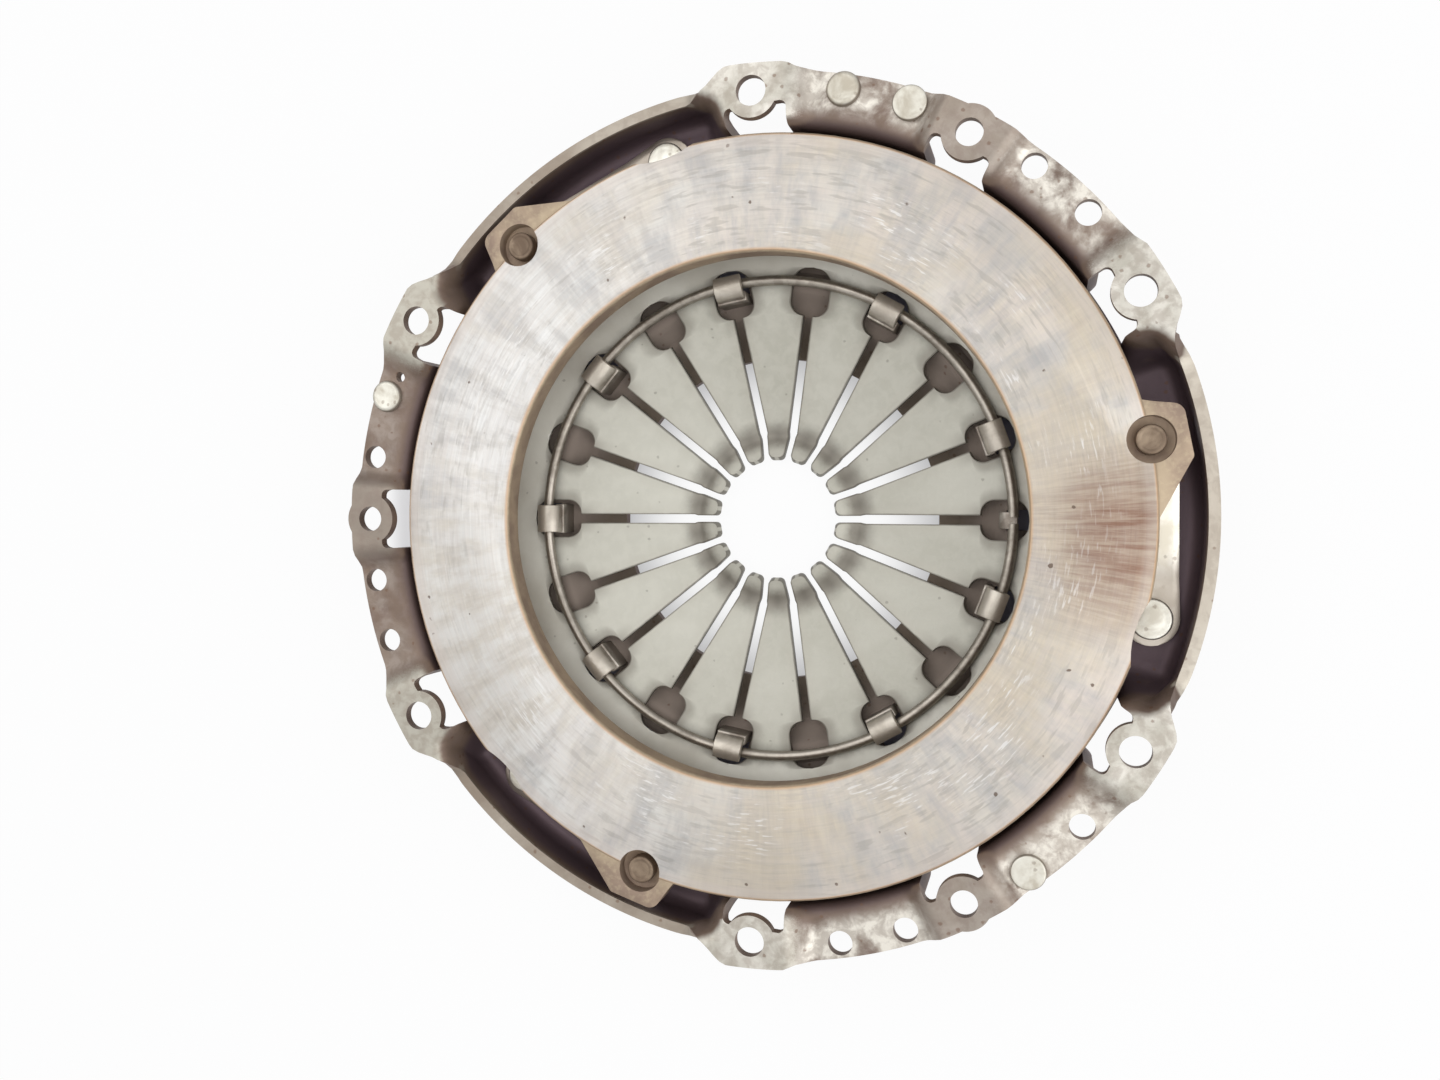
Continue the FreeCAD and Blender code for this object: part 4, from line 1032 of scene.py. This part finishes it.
def plateMaterial():
    # cast iron, brown outside, with a friction face polished and coloured by heat, and a painted reflection that
    # makes one half cooler and paler
    look = plateLook
    material, shader, place = newMaterial("castPlateIron", 0.5)
    spot = spotOf(place)
    radius, height, side = spot["Radius"], spot["Height"], partsOf(spot["Side"])
    marks = turned(spot, 0.8, 2.4, 12)
    fine = turned(spot, 1.7, 4, 26)
    streaks = turned(spot, 0.5, 3, 80)["Rayed"]
    soft = blotched(place, 24, 0.36, 0.64)["Patch"]
    small = blotched(place, 34, 0.48, 0.60)["Patch"]
    grain = blotched(place, 70, 0.35, 0.65)
    mirrored = nodeFor("ShaderNodeVectorMath", {0: place, 1: (1, -1, 1)}, operation="MULTIPLY").outputs[0]
    broad = blotched(mirrored, 15, 0.43, 0.57)["Patch"]
    # painted reflection: a cooler, paler face on one half
    paintedReflection = times(between(side[0], 0.1, -0.8), mixValues(marks["Rayed"], 0.7, 0.25))
    patch = times(span(side[1], (-0.40, -0.06), (0.26, 0.02)), between(side[0], 0.6, 0.9))
    rays = plus(times(fine["Rayed"], 0.55), times(marks["Rayed"], 0.45))
    hotBelt = span(radius, (84, 101), (120, 111))
    hot = times(patch, mixValues(rays, 0.7, 1), mixValues(streaks, 1, 0.7),
                mixValues(hotBelt, 0.28, 1))
    fleckBelt = span(radius, (82, 86), (110, 97))
    flecked = times(small, fine["Dashes"], mixValues(fleckBelt, 0.05, 0.7),
                    mixValues(patch, 1, 0.3))
    rim = calc("MAXIMUM", between(radius, 82.3, 81.3), between(radius, 114.9, 115.5))
    face = layered(look, mixColours(soft, look["silver"], look["pink"]), [
        ("beige", broad, 0.85),
        ("blue", marks["Rayed"], mixValues(broad, 0.75, 0.25), 0.95),
        ("sand", fine["Rayed"], soft, 0.4),
        ("sand", streaks, mixValues(broad, 0.04, 0.2)),
        ("reflectedSilver", paintedReflection),
        ("pink", marks["Ringed"], 0.3),
        ("blue", fine["Ringed"], 0.12),
        ("grey", fine["Gaps"], mixValues(small, 0.05, 0.28), mixValues(paintedReflection, 1, 0.3)),
        ("grey", marks["Gaps"], mixValues(broad, 0.4, 0.12), mixValues(paintedReflection, 1, 0.2)),
        ("sand", patch, streaks, 0.3),
        ("heat", hot),
        ("fleck", flecked),
        ("rust", specked(place, 150, 0.095, 0.66), 0.85),
        ("pink", between(radius, 111, 113.5), mixValues(patch, 0.4, 0.12)),
        ("rim", rim, 0.75),
    ])
    cast = layered(look, mixColours(grain["Patch"], look["cast"], look["wall"]), [
        ("band", between(radius, 120.6, 117.2), between(height, -6.6, -6.2), 0.3),
        ("band", between(height, -6.7, -6.1), between(grain["Fine"], 0.46, 0.66), 0.28),
    ])
    ground = between(height, -5.45, -5.1)
    rough = mixValues(ground, 0.58, mixValues(fine["Ringed"], 0.40, 0.52))
    lathed = plus(fine["Ringed"], times(marks["Ringed"], 0.7))
    bump = mixValues(ground, times(grain["Fine"], 3), lathed)
    finish(shader, mixColours(ground, cast, face), rough, bump, 0.3, 0.03)
    return material


wireLook = {"steel": srgb(166, 158, 148), "dark": srgb(140, 132, 122), "bright": srgb(196, 190, 178)}


def wireMaterial():
    # bright drawn wire, lightly mottled
    look = wireLook
    material, shader, place = newMaterial("wireSteel", 0.8)
    soft = blotched(place, 60, 0.35, 0.65)["Patch"]
    fine = blotched(place, 380, 0.4, 0.6)
    colour = layered(look, mixColours(soft, look["steel"], look["dark"]), [
        ("bright", fine["Patch"], 0.35),
    ])
    finish(shader, colour, mixValues(soft, 0.28, 0.42), fine["Fine"], 0.3, 0.04)
    return material


headLook = {"speck": srgb(120, 100, 82), "side": srgb(110, 96, 84)}


def headMaterial(name, light, dark, rough, metallic=0.55, darkerTone=None):
    # steel heads and strips, scuffed and spotted, with painted shade on their sloping sides, and darker low down and
    # on one side of the axis
    material, shader, place = newMaterial(name, metallic)
    soft = blotched(place, 120, 0.36, 0.66)
    upward = partsOf(normalOf(place))[2]
    layers = [
        ("speck", specked(place, 420, 0.3, 0.7), 0.45),
        # painted shade on the sloping sides
        ("side", between(upward, 0.93, 0.5, 0, 0.7)),
    ]
    if darkerTone:
        split = partsOf(place)
        low = between(split[2], -20.6 * mm, -22.9 * mm, 0, 0.85)
        layers.append((darkerTone, calc("MAXIMUM", low, between(split[0], 0.05, -0.03))))
    colour = layered(headLook, mixColours(soft["Patch"], light, dark), layers)
    finish(shader, colour, mixValues(soft["Patch"], rough, rough + 0.12), soft["Fine"], 0.35, 0.06)
    return material


def dress(pieces, material):
    for piece in pieces:
        piece.data.materials.clear()
        piece.data.materials.append(material)


coverSteel = coverMaterial()
dress(coverPieces[:1], coverSteel)
dress(coverPieces[1:], tabMaterial())
dress([springPiece], springMaterial())
dress([wirePiece], wireMaterial())
dress([platePiece], plateMaterial())
dress(leafPieces, headMaterial("strapSteel", srgb(250, 246, 236), srgb(232, 225, 208), 0.3, 0.9, srgb(176, 166, 154)))
dress(rivetPieces[::2], headMaterial("rivetSteel", srgb(234, 232, 222), srgb(206, 200, 186), 0.32, 0.8))
dress(rivetPieces[1::2], headMaterial("rivetTailSteel", srgb(150, 132, 112), srgb(112, 94, 78), 0.45))
dress(balancePieces, headMaterial("balanceRivetSteel", srgb(224, 221, 210), srgb(186, 178, 162), 0.38))
dress(nodes.values(), coverSteel)
print("stage: materials")


# Floor, lights and camera

studio = {"floor": -42.4, "floorHalf": 3, "floorGlow": 0.93, "world": 0.56, "horizon": 0.5, "lightSize": 1,
          "open": (0.86, 0.86, 0.89, 1), "coveredShade": (0.40, 0.39, 0.47, 1)}


def paleFloor():
    half, height = studio["floorHalf"], studio["floor"] * mm
    corners = [(-half, -half, height), (half, -half, height), (half, half, height), (-half, half, height)]
    mesh = bpy.data.meshes.new("floor")
    mesh.from_pydata(corners, [], [(0, 1, 2, 3)])
    floor = newObject("floor", mesh)
    material = bpy.data.materials.new("paleFloor")
    tree = emptyTree(material)
    glow = addNode(tree, "ShaderNodeEmission", {"Color": (1, 1, 1, 1), "Strength": 1}).outputs[0]
    path = addNode(tree, "ShaderNodeLightPath").outputs
    spot = spotOf(addNode(tree, "ShaderNodeTexCoord").outputs["Object"])
    radius = spot["Radius"]
    # painted shade: a darker floor under the part and in its slots
    tone = mixColours(span(radius, (38, 56), (116, 108)), studio["open"], studio["coveredShade"])
    diffuse = nodeFor("ShaderNodeBsdfDiffuse", {"Color": tone}).outputs[0]
    seen = calc("MAXIMUM", path["Is Camera Ray"], path["Is Glossy Ray"])
    seen = calc("MAXIMUM", seen, path["Is Transmission Ray"])
    # no glow where the part covers it, and less of it in the slots and in one sector, as painted shadow
    under = span(radius, (52, 60), (116, 108))
    slots = span(radius, (30, 56), (62, 56))
    sector = between(partsOf(spot["Side"])[0], -0.955, -0.99)
    shaded = times(sector, span(radius, (148, 138), (90, 100)))
    share = times(mixValues(under, studio["floorGlow"], 0), mixValues(slots, 1, 0.5),
                  mixValues(shaded, 1, 0.35), seen)
    mixed = nodeFor("ShaderNodeMixShader", {0: share, 1: diffuse, 2: glow}).outputs[0]
    nodeFor("ShaderNodeOutputMaterial", {0: mixed})
    mesh.materials.append(material)


def softLight(name, place, power):
    lamp = bpy.data.lights.new(name, "AREA")
    lamp.shape, lamp.size, lamp.energy = "DISK", studio["lightSize"], power
    light = newObject(name, lamp)
    light.location = place
    light.rotation_euler = (-Vector(place)).to_track_quat("-Z", "Y").to_euler()


def whiteWorld():
    # white where it is seen, dimmer as a light, and brightest overhead in reflections
    world = bpy.data.worlds.new("studio")
    bpy.context.scene.world = world
    tree = emptyTree(world)
    path = addNode(tree, "ShaderNodeLightPath").outputs
    seen = calc("MAXIMUM", path["Is Camera Ray"], path["Is Transmission Ray"])
    way = partsOf(addNode(tree, "ShaderNodeTexCoord").outputs["Generated"])
    overhead = between(way[2], 0.1, 0.85, studio["horizon"], 1)
    strength = mixValues(path["Is Glossy Ray"], studio["world"], overhead)
    strength = mixValues(seen, strength, 1)
    sky = nodeFor("ShaderNodeBackground", {"Color": (1, 1, 1, 1), "Strength": strength}).outputs[0]
    nodeFor("ShaderNodeOutputWorld", {0: sky})


view = {"right": (0.96543, 0.00083, -0.26069), "up": (-0.00885, 0.99952, -0.02960),
        "back": (0.26054, 0.03089, 0.96497), "place": (0.08718, 0.00557, 0.3570), "lens": 30.8, "sensor": 36}


def aimCamera():
    lens = bpy.data.cameras.new("camera")
    lens.lens, lens.sensor_width, lens.clip_start = view["lens"], view["sensor"], 0.01
    camera = newObject("camera", lens)
    rows = zip(view["right"], view["up"], view["back"], view["place"])
    camera.matrix_world = Matrix([*rows, (0, 0, 0, 1)])
    bpy.context.scene.camera = camera


paleFloor()
softLight("keyLight", (-0.42, 0.3, 0.8), 2.4)
softLight("fillLight", (0.6, -0.15, 0.6), 3.3)
whiteWorld()
aimCamera()
bpy.context.scene.view_settings.view_transform = "Standard"
print("stage: studio")

bpy.context.view_layer.update()
